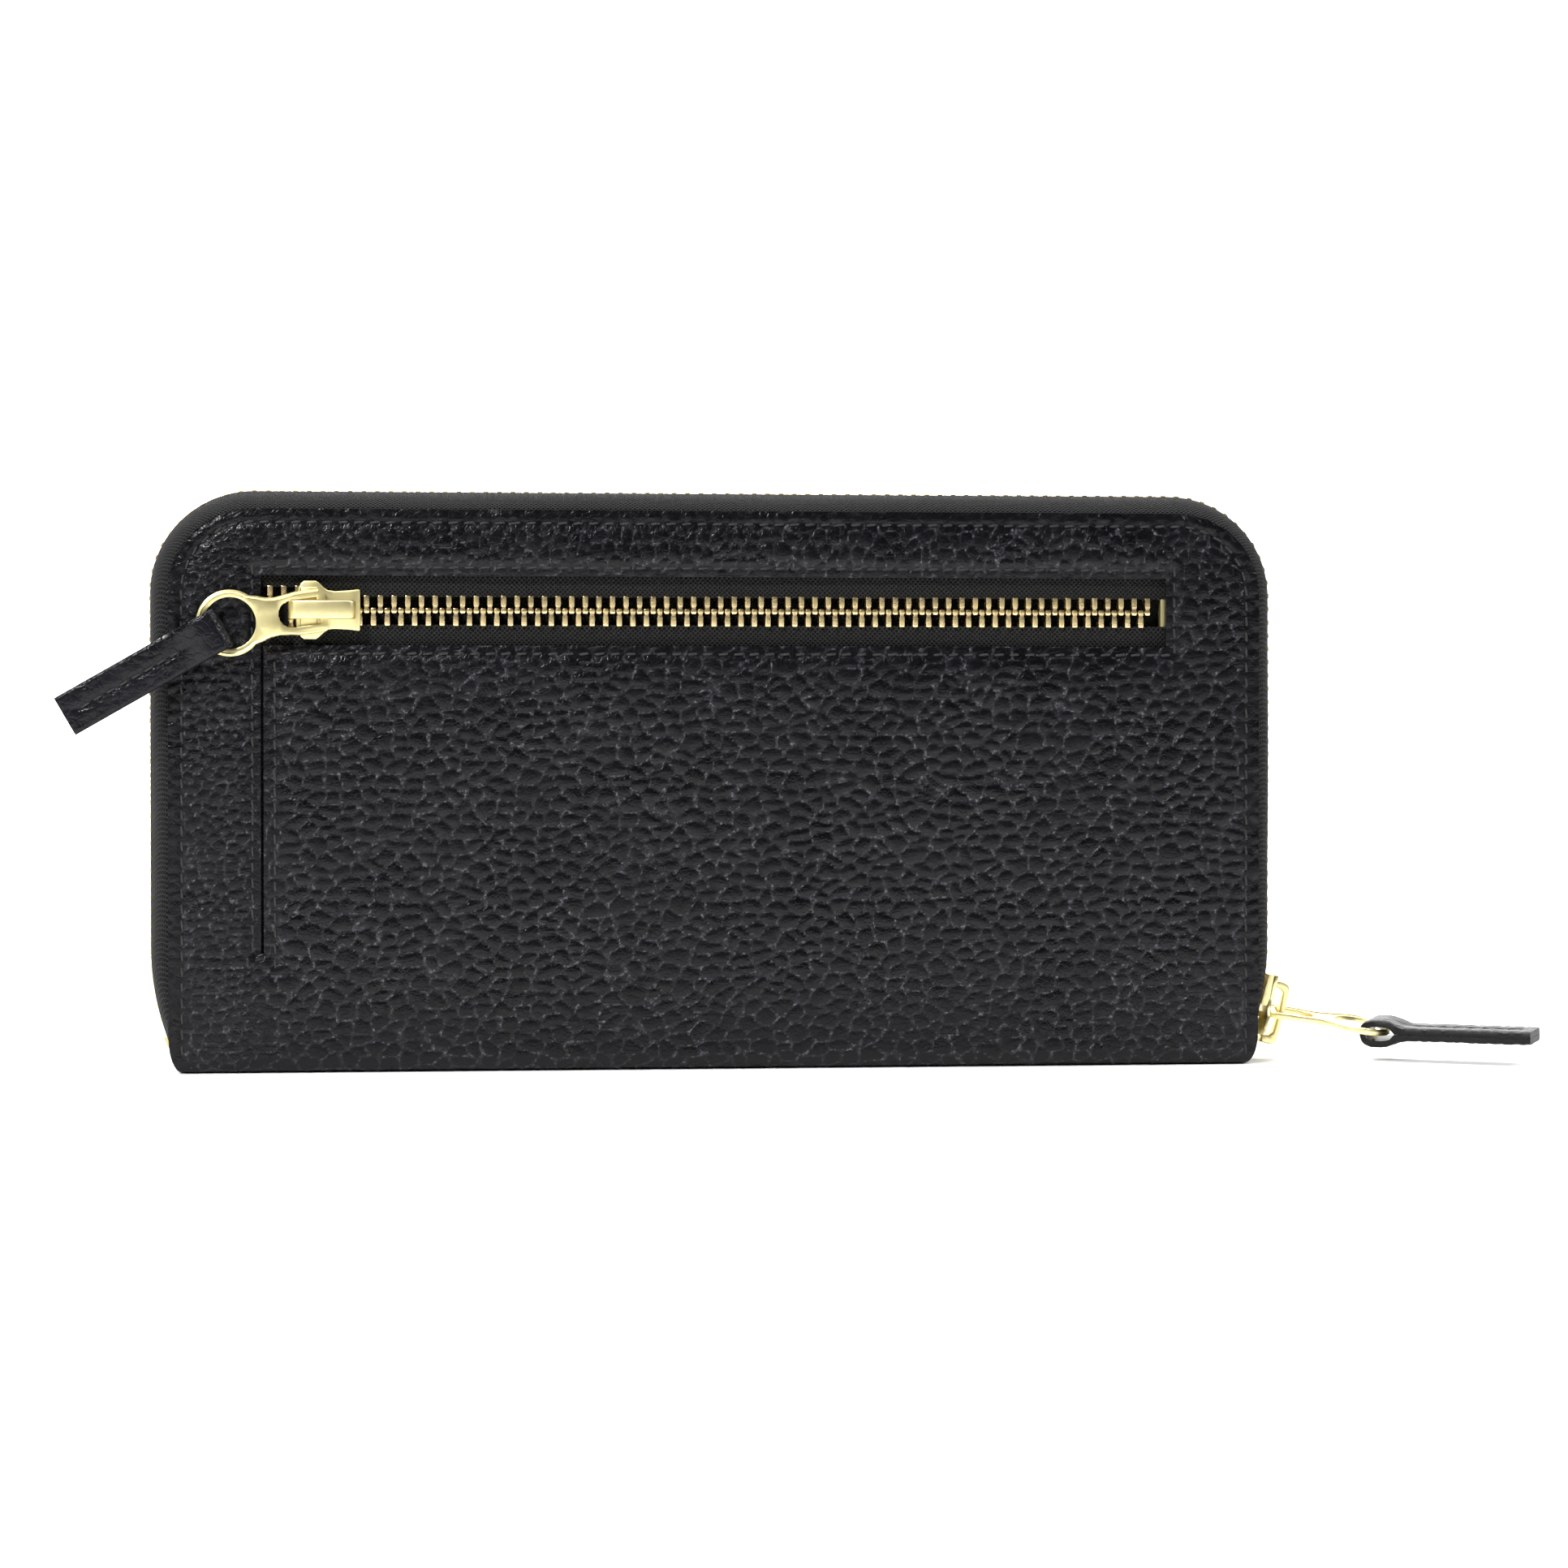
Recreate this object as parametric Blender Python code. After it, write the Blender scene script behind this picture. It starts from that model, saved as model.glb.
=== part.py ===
"""Zip around long wallet: pebbled leather covers on a spine, a brass zip round three sides,
and a zipped pocket let into the front cover.

Frame: X along the wallet's length, the front cover faces -Y, +Z up. The origin is the
centre of the spine's flat underside, on which the wallet stands.
"""

import math

import bmesh
import bpy
from mathutils import Matrix, Vector

MM = 0.001
GAP = 0.3 * MM                      # clearance left between neighbouring pieces

# Driving dimensions of the covers
COVER_LENGTH = 198.0 * MM
COVER_TOP = 101.0 * MM
HALF_THICKNESS = 11.0 * MM
LEATHER = 1.2 * MM
CORNER_R = 15.0 * MM
FOOT_TAPER = 2.8 * MM               # how far each lower corner is cut back in X
FOOT_HEIGHT = 6.0 * MM
ARC_STEPS = 8

CORNER_X = COVER_LENGTH / 2 - CORNER_R
CORNER_Z = COVER_TOP - CORNER_R
FOLD_Y = HALF_THICKNESS - LEATHER   # inner face of each cover, where its fold lies
SPINE_HALF_WIDTH = FOLD_Y - 0.2 * MM
SPINE_HALF_LENGTH = COVER_LENGTH / 2 - FOOT_TAPER

# Zip chains: all three pieces of a zip share these
PITCH = 2.45 * MM
TOOTH_LENGTH = 0.95 * MM            # along the chain
TOOTH_TIP = -0.45 * MM              # past the chain's centre line
TIP_TAPER = 0.1 * MM                # taken off each side of a tooth at its tip
TOOTH_ROOT = 2.0 * MM
ROW_BACK = 2.6 * MM
TOOTH_HALF_HEIGHT = 1.1 * MM
TAPE = 0.5 * MM
TAPE_START = ROW_BACK + GAP
SPREAD = 1.7 * MM                   # how far each row swings out round a slider's diamond
STOP_LENGTH = 1.8 * MM

# Main zip, round the rim
CHAIN_OUT = 3.1 * MM                # chain's centre line outside the leather's edge
TAPE_SEAM = 7.0 * MM                # tape held between leather and lining
TAPE_Y = FOLD_Y - GAP - TAPE / 2
TAPE_TURN = 1.0 * MM                # the tape leaves its seam this far inside the edge
TAPE_FOOT = 3.2 * MM
TUCK = 5.4 * MM                     # how far the zip curves in at the spine
TUCK_HEIGHT = 22.0 * MM
TOOTH_FOOT = 3.0 * MM               # bare tape below the first tooth
RIM_CHAIN_R = CORNER_R + CHAIN_OUT
RIM_SIDE = CORNER_Z - TAPE_FOOT
RIM_ARC = RIM_CHAIN_R * math.pi / 2
RIM_LENGTH = 2 * RIM_SIDE + 2 * RIM_ARC + 2 * CORNER_X

# Pocket zip, in a window of the front cover
WINDOW_LEFT = -82.6 * MM
WINDOW_RIGHT = 81.6 * MM
WINDOW_LOW = 76.6 * MM
WINDOW_HIGH = 89.1 * MM
SLIT_FOOT = 21.5 * MM
SLIT_WIDTH = 0.5 * MM
POCKET_CHAIN_Y = -(FOLD_Y - GAP - TAPE / 2)
POCKET_CHAIN_Z = (WINDOW_LOW + WINDOW_HIGH) / 2
POCKET_TAPE_HALF = 8.4 * MM
POCKET_TAPE_ENDS = 2.4 * MM

# Slider, its crown and its pull, in the slider's own axes: a from nose to rear,
# b across, c out of the chain. The origin is on the chain's centre line at the nose.
SLIDER_LENGTH = 11.5 * MM
SHOULDER = 5.25 * MM
WAIST = 3.4 * MM
REAR = 3.7 * MM
PLATE_IN = 1.7 * MM
OUTER_PLATE = 0.9 * MM
INNER_PLATE = 0.7 * MM
LIP_OUTER = 0.55 * MM
LIP_INNER = 0.75 * MM
LIP_WIDTH = 0.6 * MM
LIP_START = 6.3 * MM
DIAMOND_HALF = 0.9 * MM
CROWN_HALF = 1.35 * MM
CROWN_IN = 4.8 * MM
CROWN_BAR = 0.9 * MM
CROWN_FRONT = -1.2 * MM
CROWN_REAR = 10.7 * MM
PULL_PIVOT_A = 4.85 * MM
PULL_PIVOT_C = 3.7 * MM
PULL_THICKNESS = 1.0 * MM
PULL_ARM = 3.9 * MM
PULL_NECK = 3.4 * MM
PULL_HOLE_HALF = 2.65 * MM
PULL_BAR = 0.75 * MM                # half the width of the bar held under the crown
PULL_HOLE_END = 7.8 * MM
EYE_CENTRE = 16.6 * MM
EYE_OUTER = 5.95 * MM
EYE_INNER = 4.6 * MM
EYE_BAR = (EYE_OUTER + EYE_INNER) / 2

# Leather tab folded through each pull's eye
TAB_LENGTH = 28.0 * MM
TAB_WIDTH = 7.4 * MM
TAB_PLY = 1.2 * MM
TAB_SLOT_HALF = 1.3 * MM
TAB_SLOT_IN = 3.0 * MM
TAB_SLOT_OUT = 0.95 * MM

# Where the sliders stand and how their pulls lie
MAIN_SLIDER_Z = 10.8 * MM
MAIN_SLIDER_TILT = math.radians(15)
MAIN_PULL_ROLL = math.radians(10)
MAIN_PULL_YAW = math.radians(4)
MAIN_PULL_UP = math.radians(6)
MAIN_TAB_YAW = math.radians(25)
MAIN_TAB_RISE = math.radians(12)
POCKET_SLIDER_NOSE = -76.4 * MM
POCKET_PULL_LIFT = math.radians(5)
POCKET_PULL_DROOP = math.radians(8.5)
POCKET_TAB_DROOP = math.radians(21.5)

# Inside layers
INNER_INSET = 8.0 * MM
SHEET_FOOT = 4.0 * MM
BAG_SHEET = 0.3 * MM
BOARD = 0.5 * MM
WALL = 0.5 * MM
SLOT_SHEET = 0.35 * MM
SLOT_HALF_LENGTH = 84.0 * MM
SLOT_FOOT = 8.0 * MM
SLOT_TOP = 88.0 * MM
SLOT_STEP = 12.0 * MM
CENTRE_FRONT_Y = 0.0 * MM           # inner faces of the centre pocket's two walls
CENTRE_BACK_Y = 4.7 * MM
CENTRE_HALF_LENGTH = 90.0 * MM
CENTRE_TOP = 90.0 * MM
GUSSET_SHEET = 0.3 * MM
GUSSET_OUT = 90.5 * MM
GUSSET_IN = 74.0 * MM
GUSSET_FOOT = 10.0 * MM
GUSSET_TOP = 84.0 * MM

BLACK_LEATHER = (0.014, 0.014, 0.018)
BLACK_TAPE = (0.008, 0.008, 0.009)
BRASS = (0.73, 0.63, 0.24)
TOOTH_BRASS = (0.68, 0.46, 0.11)


# ---------------------------------------------------------------- helpers

def clear_scene():
    for item in list(bpy.data.objects):
        bpy.data.objects.remove(item, do_unlink=True)


def make_material(name, colour, roughness, metallic):
    material = bpy.data.materials.new(name)
    material.use_nodes = True
    shader = material.node_tree.nodes["Principled BSDF"]
    shader.inputs["Base Color"].default_value = (*colour, 1.0)
    shader.inputs["Roughness"].default_value = roughness
    shader.inputs["Metallic"].default_value = metallic
    material.diffuse_color = (*colour, 1.0)
    return material


def leather(name):
    return make_material(name, BLACK_LEATHER, 0.45, 0.0)


def fabric(name):
    return make_material(name, BLACK_TAPE, 0.9, 0.0)


def brass(name):
    return make_material(name, BRASS, 0.35, 1.0)


def tooth_brass(name):
    return make_material(name, TOOTH_BRASS, 0.2, 1.0)


def board(name):
    return make_material(name, (0.2, 0.17, 0.13), 0.95, 0.0)


def add_object(name, bm, finish, parent=None, smooth=False):
    """An object of its own material from a bmesh, which is left with its faces pointing out."""
    bmesh.ops.recalc_face_normals(bm, faces=bm.faces)
    mesh = bpy.data.meshes.new(name)
    bm.to_mesh(mesh)
    bm.free()
    if smooth:
        mesh.shade_smooth()
        mesh.set_sharp_from_angle(angle=math.radians(35))
    mesh.materials.append(finish(name))
    item = bpy.data.objects.new(name, mesh)
    bpy.context.scene.collection.objects.link(item)
    item.parent = parent
    return item


def add_axis(name, origin, along, out, parent=None):
    """An empty on a joint's axis. Its X runs along, its Z runs out."""
    along, out = Vector(along).normalized(), Vector(out)
    out = (out - along * out.dot(along)).normalized()
    across = out.cross(along)
    turn = Matrix((along, across, out)).transposed().to_4x4()
    empty = bpy.data.objects.new(name, None)
    bpy.context.scene.collection.objects.link(empty)
    empty.empty_display_size = 5 * MM
    empty.parent = parent
    empty.matrix_basis = Matrix.Translation(origin) @ turn
    return empty


def arc(centre, radius, start, end, steps=ARC_STEPS):
    """Points on an arc, from one angle to the other in degrees, with both ends."""
    angles = [math.radians(start + (end - start) * i / steps) for i in range(steps + 1)]
    return [(centre[0] + radius * math.cos(t), centre[1] + radius * math.sin(t)) for t in angles]


def prism(outline, low, high, to_point, holes=()):
    """A flat outline with holes, extruded from low to high. to_point places (p, q, depth)."""
    bm = bmesh.new()
    for loop in (outline, *holes):
        ring = [bm.verts.new((p, q, 0)) for p, q in loop]
        for i, vert in enumerate(ring):
            bm.edges.new((vert, ring[(i + 1) % len(ring)]))
    bmesh.ops.triangle_fill(bm, use_beauty=True, edges=bm.edges[:])
    base = bm.faces[:]
    grown = bmesh.ops.extrude_face_region(bm, geom=base)["geom"]
    top = {v for v in grown if isinstance(v, bmesh.types.BMVert)}
    for vert in bm.verts:
        p, q, _ = vert.co
        vert.co = to_point(p, q, high if vert in top else low)
    return bm


def facing_y(p, q, depth):
    return Vector((p, depth, q))


def flat(p, q, depth):
    return Vector((p, q, depth))


def edge_on(p, q, depth):
    return Vector((p, depth, q))


def box(low, high):
    outline = [(low[0], low[1]), (high[0], low[1]), (high[0], high[1]), (low[0], high[1])]
    return prism(outline, low[2], high[2], flat)


def join_solid(target, bm, name):
    """Adds a second solid to an object by a union, with the added solid kept as a hidden guide."""
    helper = add_object(name, bm, brass, target.parent)
    helper.hide_render = True
    helper.display_type = "WIRE"
    union = target.modifiers.new(name, "BOOLEAN")
    union.operation = "UNION"
    union.solver = "EXACT"
    union.object = helper


# ---------------------------------------------------------------- covers

def cover_outline(inset, foot):
    """A cover's outline in X and Z: round top corners, and lower corners that taper in."""
    half = COVER_LENGTH / 2 - inset
    radius = max(CORNER_R - inset, 2 * MM)
    centre_x = half - radius
    centre_z = COVER_TOP - inset - radius
    right = arc((centre_x, centre_z), radius, 0, 90)
    left = arc((-centre_x, centre_z), radius, 90, 180)
    taper = [
        (FOOT_TAPER * (1 - math.cos(t)), FOOT_HEIGHT * (1 - math.sin(t)))
        for t in (math.radians(a) for a in (90, 60, 30, 0))
    ]
    low_left = [(-half + x, foot + z) for x, z in reversed(taper)]
    low_right = [(half - x, foot + z) for x, z in taper]
    low_left.reverse()
    low_right.reverse()
    return [*right, *left, *reversed(low_left), *low_right]


def cover_plate(name, inset, foot, y_low, y_high, finish, holes=()):
    return add_object(name, prism(cover_outline(inset, foot), y_low, y_high, facing_y, holes), finish)


def rectangle(x_half, z_low, z_high):
    return [(-x_half, z_low), (x_half, z_low), (x_half, z_high), (-x_half, z_high)]


def sheet(name, x_half, z_low, z_high, y_low, y_high, finish):
    return add_object(name, prism(rectangle(x_half, z_low, z_high), y_low, y_high, facing_y), finish)


def make_outer_leather():
    """One cut of leather, which folds at the spine's two edges."""
    window = [
        (WINDOW_LEFT, WINDOW_HIGH),
        (WINDOW_RIGHT, WINDOW_HIGH),
        (WINDOW_RIGHT, WINDOW_LOW),
        (WINDOW_LEFT + SLIT_WIDTH, WINDOW_LOW),
        (WINDOW_LEFT + SLIT_WIDTH, SLIT_FOOT),
        (WINDOW_LEFT, SLIT_FOOT),
    ]
    cover_plate("front_cover_leather", 0, LEATHER, -HALF_THICKNESS, -FOLD_Y, leather, [window])
    cover_plate("back_cover_leather", 0, LEATHER, FOLD_Y, HALF_THICKNESS, leather)
    low = (-SPINE_HALF_LENGTH, -SPINE_HALF_WIDTH, 0)
    high = (SPINE_HALF_LENGTH, SPINE_HALF_WIDTH, LEATHER)
    add_object("spine_leather", box(low, high), leather)
    low = (-SPINE_HALF_LENGTH + INNER_INSET, -SPINE_HALF_WIDTH + INNER_INSET / 4, LEATHER + GAP)
    high = (SPINE_HALF_LENGTH - INNER_INSET, SPINE_HALF_WIDTH - INNER_INSET / 4, LEATHER + GAP + 0.4 * MM)
    add_object("spine_lining", box(low, high), fabric)


def make_front_layers():
    """The pocket's bag, board, lining and stepped card slots, from the front leather inwards."""
    y = -FOLD_Y + GAP
    bag_half = COVER_LENGTH / 2 - INNER_INSET
    low_edge = POCKET_CHAIN_Z - POCKET_TAPE_HALF - GAP
    sheet("pocket_bag_front", bag_half, SHEET_FOOT + 6 * MM, low_edge, y, y + BAG_SHEET, fabric)
    y = POCKET_CHAIN_Y + PLATE_IN + INNER_PLATE + GAP
    sheet("pocket_bag_back", bag_half, SHEET_FOOT + 6 * MM, WINDOW_HIGH + 3 * MM, y, y + BAG_SHEET, fabric)
    y += BAG_SHEET + GAP
    cover_plate("front_board", INNER_INSET, SHEET_FOOT, y, y + BOARD, board)
    y += BOARD + GAP
    cover_plate("front_lining", INNER_INSET, SHEET_FOOT, y, y + 0.4 * MM, fabric)
    y += 0.4 * MM + GAP
    for number in range(4):
        top = SLOT_TOP - SLOT_STEP * number
        name = f"front_card_slot_{number + 1}"
        sheet(name, SLOT_HALF_LENGTH, SLOT_FOOT, top, y, y + SLOT_SHEET, leather)
        y += SLOT_SHEET + GAP


def make_back_layers():
    """The back cover's board, lining and two full-width slip pockets, from the leather inwards."""
    y = FOLD_Y - GAP
    cover_plate("back_board", INNER_INSET, SHEET_FOOT, y - BOARD, y, board)
    y -= BOARD + GAP
    cover_plate("back_lining", INNER_INSET, SHEET_FOOT, y - BOARD, y, fabric)
    y -= BOARD + GAP
    for number in range(2):
        top = SLOT_TOP - 1.5 * SLOT_STEP * number
        name = f"back_slip_pocket_{number + 1}"
        sheet(name, SLOT_HALF_LENGTH, SLOT_FOOT, top, y - 0.4 * MM, y, leather)
        y -= 0.4 * MM + GAP


def gusset(name, side, y_low, y_high):
    """A side gusset, folded flat as a V that points into the wallet."""
    t = GUSSET_SHEET
    outline = [
        (GUSSET_OUT, y_low),
        (GUSSET_IN, y_low),
        (GUSSET_IN, y_high),
        (GUSSET_OUT, y_high),
        (GUSSET_OUT, y_high - t),
        (GUSSET_IN + t, y_high - t),
        (GUSSET_IN + t, y_low + t),
        (GUSSET_OUT, y_low + t),
    ]
    outline = [(side * x, y) for x, y in outline]
    add_object(name, prism(outline, GUSSET_FOOT, GUSSET_TOP, flat), leather)


def make_centre_pocket():
    """The open pocket in the middle, and the four gussets that tie it to the covers."""
    front, back = CENTRE_FRONT_Y, CENTRE_BACK_Y
    half, foot = CENTRE_HALF_LENGTH, SHEET_FOOT
    sheet("centre_pocket_front", half, foot, CENTRE_TOP, front - WALL, front, leather)
    sheet("centre_pocket_back", half, foot, CENTRE_TOP, back, back + WALL, leather)
    low = (-half, front + GAP, foot)
    high = (half, back - GAP, foot + WALL)
    add_object("centre_pocket_base", box(low, high), fabric)
    fold = 1.0 * MM
    for side, word in ((-1, "left"), (1, "right")):
        y = front - WALL - GAP
        gusset(f"gusset_front_{word}", side, y - fold, y)
        y = back + WALL + GAP
        gusset(f"gusset_back_{word}", side, y, y + fold)


# ---------------------------------------------------------------- zips

def rim_point(s, n, y):
    """A point s along the rim from the right foot, n outside the leather's edge, at y."""
    if s > RIM_LENGTH / 2:
        mirrored = rim_point(RIM_LENGTH - s, n, y)
        return Vector((-mirrored.x, y, mirrored.z))
    if s <= RIM_SIDE:
        z = TAPE_FOOT + s
        free = min(max((n + TAPE_TURN) / (CHAIN_OUT + TAPE_TURN), 0), 1)
        tuck = TUCK * (max(TUCK_HEIGHT - z, 0) / TUCK_HEIGHT) ** 2
        return Vector((CORNER_X + CORNER_R + n - free * tuck, y, z))
    angle = (s - RIM_SIDE) / RIM_CHAIN_R
    if angle < math.pi / 2:
        radius = CORNER_R + n
        return Vector((CORNER_X + radius * math.cos(angle), y, CORNER_Z + radius * math.sin(angle)))
    return Vector((CORNER_X - (s - RIM_SIDE - RIM_ARC), y, COVER_TOP + n))


def pocket_point(s, n, b):
    """A point s along the pocket zip from its left end, n out of the front cover, b above the chain."""
    return Vector((WINDOW_LEFT + s, POCKET_CHAIN_Y - n, POCKET_CHAIN_Z + b))


def ease(value, low, high):
    t = min(max((value - low) / (high - low), 0), 1)
    return t * t * (3 - 2 * t)


def rim_spread(s):
    nose = MAIN_SLIDER_Z - SLIDER_LENGTH / 2 - TAPE_FOOT
    return SPREAD * (1 - ease(s, nose + 0.25 * SLIDER_LENGTH, nose + 0.5 * SLIDER_LENGTH))


def pocket_spread(s):
    nose = POCKET_SLIDER_NOSE - WINDOW_LEFT
    return SPREAD * (1 - ease(s, nose + 0.25 * SLIDER_LENGTH, nose + 0.5 * SLIDER_LENGTH))


def tooth_row(name, side, start, end, centre, to_point, spread):
    """Half a zip chain: teeth of one pitch on a narrow strip, as one comb.

    side is 1 or -1 across the chain, and the -1 row is half a pitch further on, so the
    two rows mesh. Each pitch is one tooth followed by one gap.
    """
    bm = bmesh.new()
    shift = 0 if side > 0 else PITCH / 2
    count = int((end - start - shift) / PITCH)
    levels = (centre - TOOTH_HALF_HEIGHT, centre + TOOTH_HALF_HEIGHT)

    def corner(s, b):
        return [bm.verts.new(to_point(s, n, side * (b + spread(s)))) for n in levels]

    last = None
    for number in range(count):
        s = start + shift + PITCH * number
        back_a = last[0] if last else corner(s, ROW_BACK)
        root_a = last[1] if last else corner(s, TOOTH_ROOT)
        tip_a = corner(s + TIP_TAPER, TOOTH_TIP)
        tip_b = corner(s + TOOTH_LENGTH - TIP_TAPER, TOOTH_TIP)
        root_b = corner(s + TOOTH_LENGTH, TOOTH_ROOT)
        tooth = (root_a, tip_a, tip_b, root_b)
        walls = [(root_a, tip_a), (tip_a, tip_b), (tip_b, root_b)]
        if number == 0:
            walls.append((back_a, root_a))
        if number < count - 1:
            back_b = corner(s + PITCH, ROW_BACK)
            root_c = corner(s + PITCH, TOOTH_ROOT)
            rings = [tooth, (back_a, root_a, root_b), (back_a, root_b, root_c, back_b)]
            walls.append((root_b, root_c))
            last = (back_b, root_c)
        else:
            back_b = corner(s + TOOTH_LENGTH, ROW_BACK)
            rings = [tooth, (back_a, root_a, root_b, back_b)]
            walls.append((root_b, back_b))
        walls.append((back_a, back_b))
        for ring in rings:
            bm.faces.new([pair[0] for pair in ring])
            bm.faces.new([pair[1] for pair in ring])
        for first, second in walls:
            bm.faces.new((first[0], second[0], second[1], first[1]))
    return add_object(name, bm, tooth_brass)


def loft(name, rings, finish):
    """A solid skinned over closed rings of equal length, with its two ends filled."""
    bm = bmesh.new()
    grid = [[bm.verts.new(point) for point in ring] for ring in rings]
    size = len(grid[0])
    for first, second in zip(grid, grid[1:]):
        for i in range(size):
            j = (i + 1) % size
            bm.faces.new((first[i], first[j], second[j], second[i]))
    half = size // 2
    for ring in (grid[0], grid[-1]):
        for i in range(half - 1):
            bm.faces.new((ring[i], ring[i + 1], ring[size - 2 - i], ring[size - 1 - i]))
    return add_object(name, bm, finish, smooth=True)


def rim_stations():
    """Where the rim's tape needs a ring: along the tucked feet, and round the corners."""
    feet = [RIM_SIDE * t for t in (0, 0.03, 0.06, 0.09, 0.13, 0.18, 0.25)]
    corner = [RIM_SIDE + RIM_ARC * i / ARC_STEPS for i in range(ARC_STEPS + 1)]
    half = feet + corner
    return half + [RIM_LENGTH - s for s in reversed(half)]


def rim_tape(name, side):
    """One tape of the main zip: held flat in the seam, then arching out to the teeth."""
    rings = []
    for s in rim_stations():
        end = TAPE_START + rim_spread(s)
        centre = [(-TAPE_SEAM, TAPE_Y, 0.0)]
        for step in range(6):
            t = math.radians(18 * step)
            n = -TAPE_TURN + (CHAIN_OUT + TAPE_TURN) * math.sin(t)
            y = end + (TAPE_Y - end) * math.cos(t)
            centre.append((n, y, t))
        outer = [(n + TAPE / 2 * math.sin(t), y + TAPE / 2 * math.cos(t)) for n, y, t in centre]
        inner = [(n - TAPE / 2 * math.sin(t), y - TAPE / 2 * math.cos(t)) for n, y, t in centre]
        rings.append([rim_point(s, n, side * y) for n, y in outer + inner[::-1]])
    loft(name, rings, fabric)


def pocket_tape(name, side):
    """One flat tape of the pocket zip, whose inner edge follows the row of teeth."""
    length = WINDOW_RIGHT - WINDOW_LEFT
    nose = POCKET_SLIDER_NOSE - WINDOW_LEFT
    bends = [nose + SLIDER_LENGTH * t for t in (0.25, 0.3, 0.35, 0.4, 0.45, 0.5)]
    stations = [-POCKET_TAPE_ENDS, *bends, length + POCKET_TAPE_ENDS]
    inner = [(s, side * (TAPE_START + pocket_spread(s))) for s in stations]
    outer = [(s, side * POCKET_TAPE_HALF) for s in reversed((stations[0], stations[-1]))]
    bm = prism(inner + outer, -TAPE / 2, TAPE / 2, lambda s, b, n: pocket_point(s, n, b))
    add_object(name, bm, fabric)


def stop(name, s, centre, b_low, b_high, to_point):
    """A small metal stop clamped on the tape next to the last tooth."""
    bm = box((s, b_low, centre - TOOTH_HALF_HEIGHT), (s + STOP_LENGTH, b_high, centre + TOOTH_HALF_HEIGHT))
    for vert in bm.verts:
        along, across, out = vert.co
        vert.co = to_point(along, out, across)
    add_object(name, bm, brass)


def make_main_zip():
    start, end = TOOTH_FOOT, RIM_LENGTH - TOOTH_FOOT
    for side, word in ((1, "back"), (-1, "front")):
        rim_tape(f"main_tape_{word}", side)
        tooth_row(f"main_teeth_{word}", side, start, end, CHAIN_OUT, rim_point, rim_spread)
        edges = sorted((side * (SPREAD + GAP), side * (SPREAD + ROW_BACK)))
        stop(f"main_top_stop_{word}", start - STOP_LENGTH - GAP, CHAIN_OUT, *edges, rim_point)
    stop("main_end_stop", end + GAP, CHAIN_OUT, -ROW_BACK, ROW_BACK, rim_point)


def make_pocket_zip():
    start, end = 1.2 * MM, WINDOW_RIGHT - WINDOW_LEFT - 1.0 * MM
    for side, word in ((1, "upper"), (-1, "lower")):
        pocket_tape(f"pocket_tape_{word}", side)
        tooth_row(f"pocket_teeth_{word}", side, start, end, 0, pocket_point, pocket_spread)
    # the end stop lies under the leather at the window's right end
    depth = POCKET_CHAIN_Y + FOLD_Y - GAP - TOOTH_HALF_HEIGHT
    stop("pocket_end_stop", end + GAP, depth, -ROW_BACK, ROW_BACK, pocket_point)


# ---------------------------------------------------------------- sliders and pulls

def slider_body(name, axis):
    """Two plates joined by the diamond at the nose, with lips that keep the chain in."""
    half_plan = [
        (0, 2.6 * MM),
        (1.0 * MM, SHOULDER),
        (4.0 * MM, SHOULDER),
        (5.7 * MM, WAIST),
        (SLIDER_LENGTH, REAR),
    ]
    plan = half_plan + [(a, -b) for a, b in reversed(half_plan)]
    body = add_object(name, prism(plan, PLATE_IN, PLATE_IN + OUTER_PLATE, flat), brass, axis)
    join_solid(body, prism(plan, -PLATE_IN - INNER_PLATE, -PLATE_IN, flat), f"{name}_inner_plate")
    diamond = [
        (0.7 * MM, 0),
        (1.9 * MM, DIAMOND_HALF),
        (2.7 * MM, DIAMOND_HALF),
        (4.4 * MM, 0),
        (2.7 * MM, -DIAMOND_HALF),
        (1.9 * MM, -DIAMOND_HALF),
    ]
    reach = PLATE_IN + 0.3 * MM
    join_solid(body, prism(diamond, -reach, reach, flat), f"{name}_diamond")
    for side in (-1, 1):
        edges = sorted((side * (WAIST - LIP_WIDTH), side * WAIST))
        outer = box((LIP_START, edges[0], LIP_OUTER), (SLIDER_LENGTH, edges[1], reach))
        inner = box((LIP_START, edges[0], -reach), (SLIDER_LENGTH, edges[1], -LIP_INNER))
        join_solid(body, outer, f"{name}_outer_lip_{side + 1}")
        join_solid(body, inner, f"{name}_inner_lip_{side + 1}")


def slider_crown(name, axis):
    """The bridge over the slider that holds the pull."""
    low = PLATE_IN + OUTER_PLATE + GAP
    top = CROWN_IN + CROWN_BAR
    leg = 1.6 * MM
    bend = 0.9 * MM
    outline = [
        (CROWN_FRONT, low),
        (CROWN_FRONT, top - bend),
        (CROWN_FRONT + bend, top),
        (CROWN_REAR - bend, top),
        (CROWN_REAR, top - bend),
        (CROWN_REAR, low),
        (CROWN_REAR - leg, low),
        (CROWN_REAR - leg, CROWN_IN),
        (CROWN_FRONT + leg, CROWN_IN),
        (CROWN_FRONT + leg, low),
    ]
    add_object(name, prism(outline, -CROWN_HALF, CROWN_HALF, edge_on), brass, axis)


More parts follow.
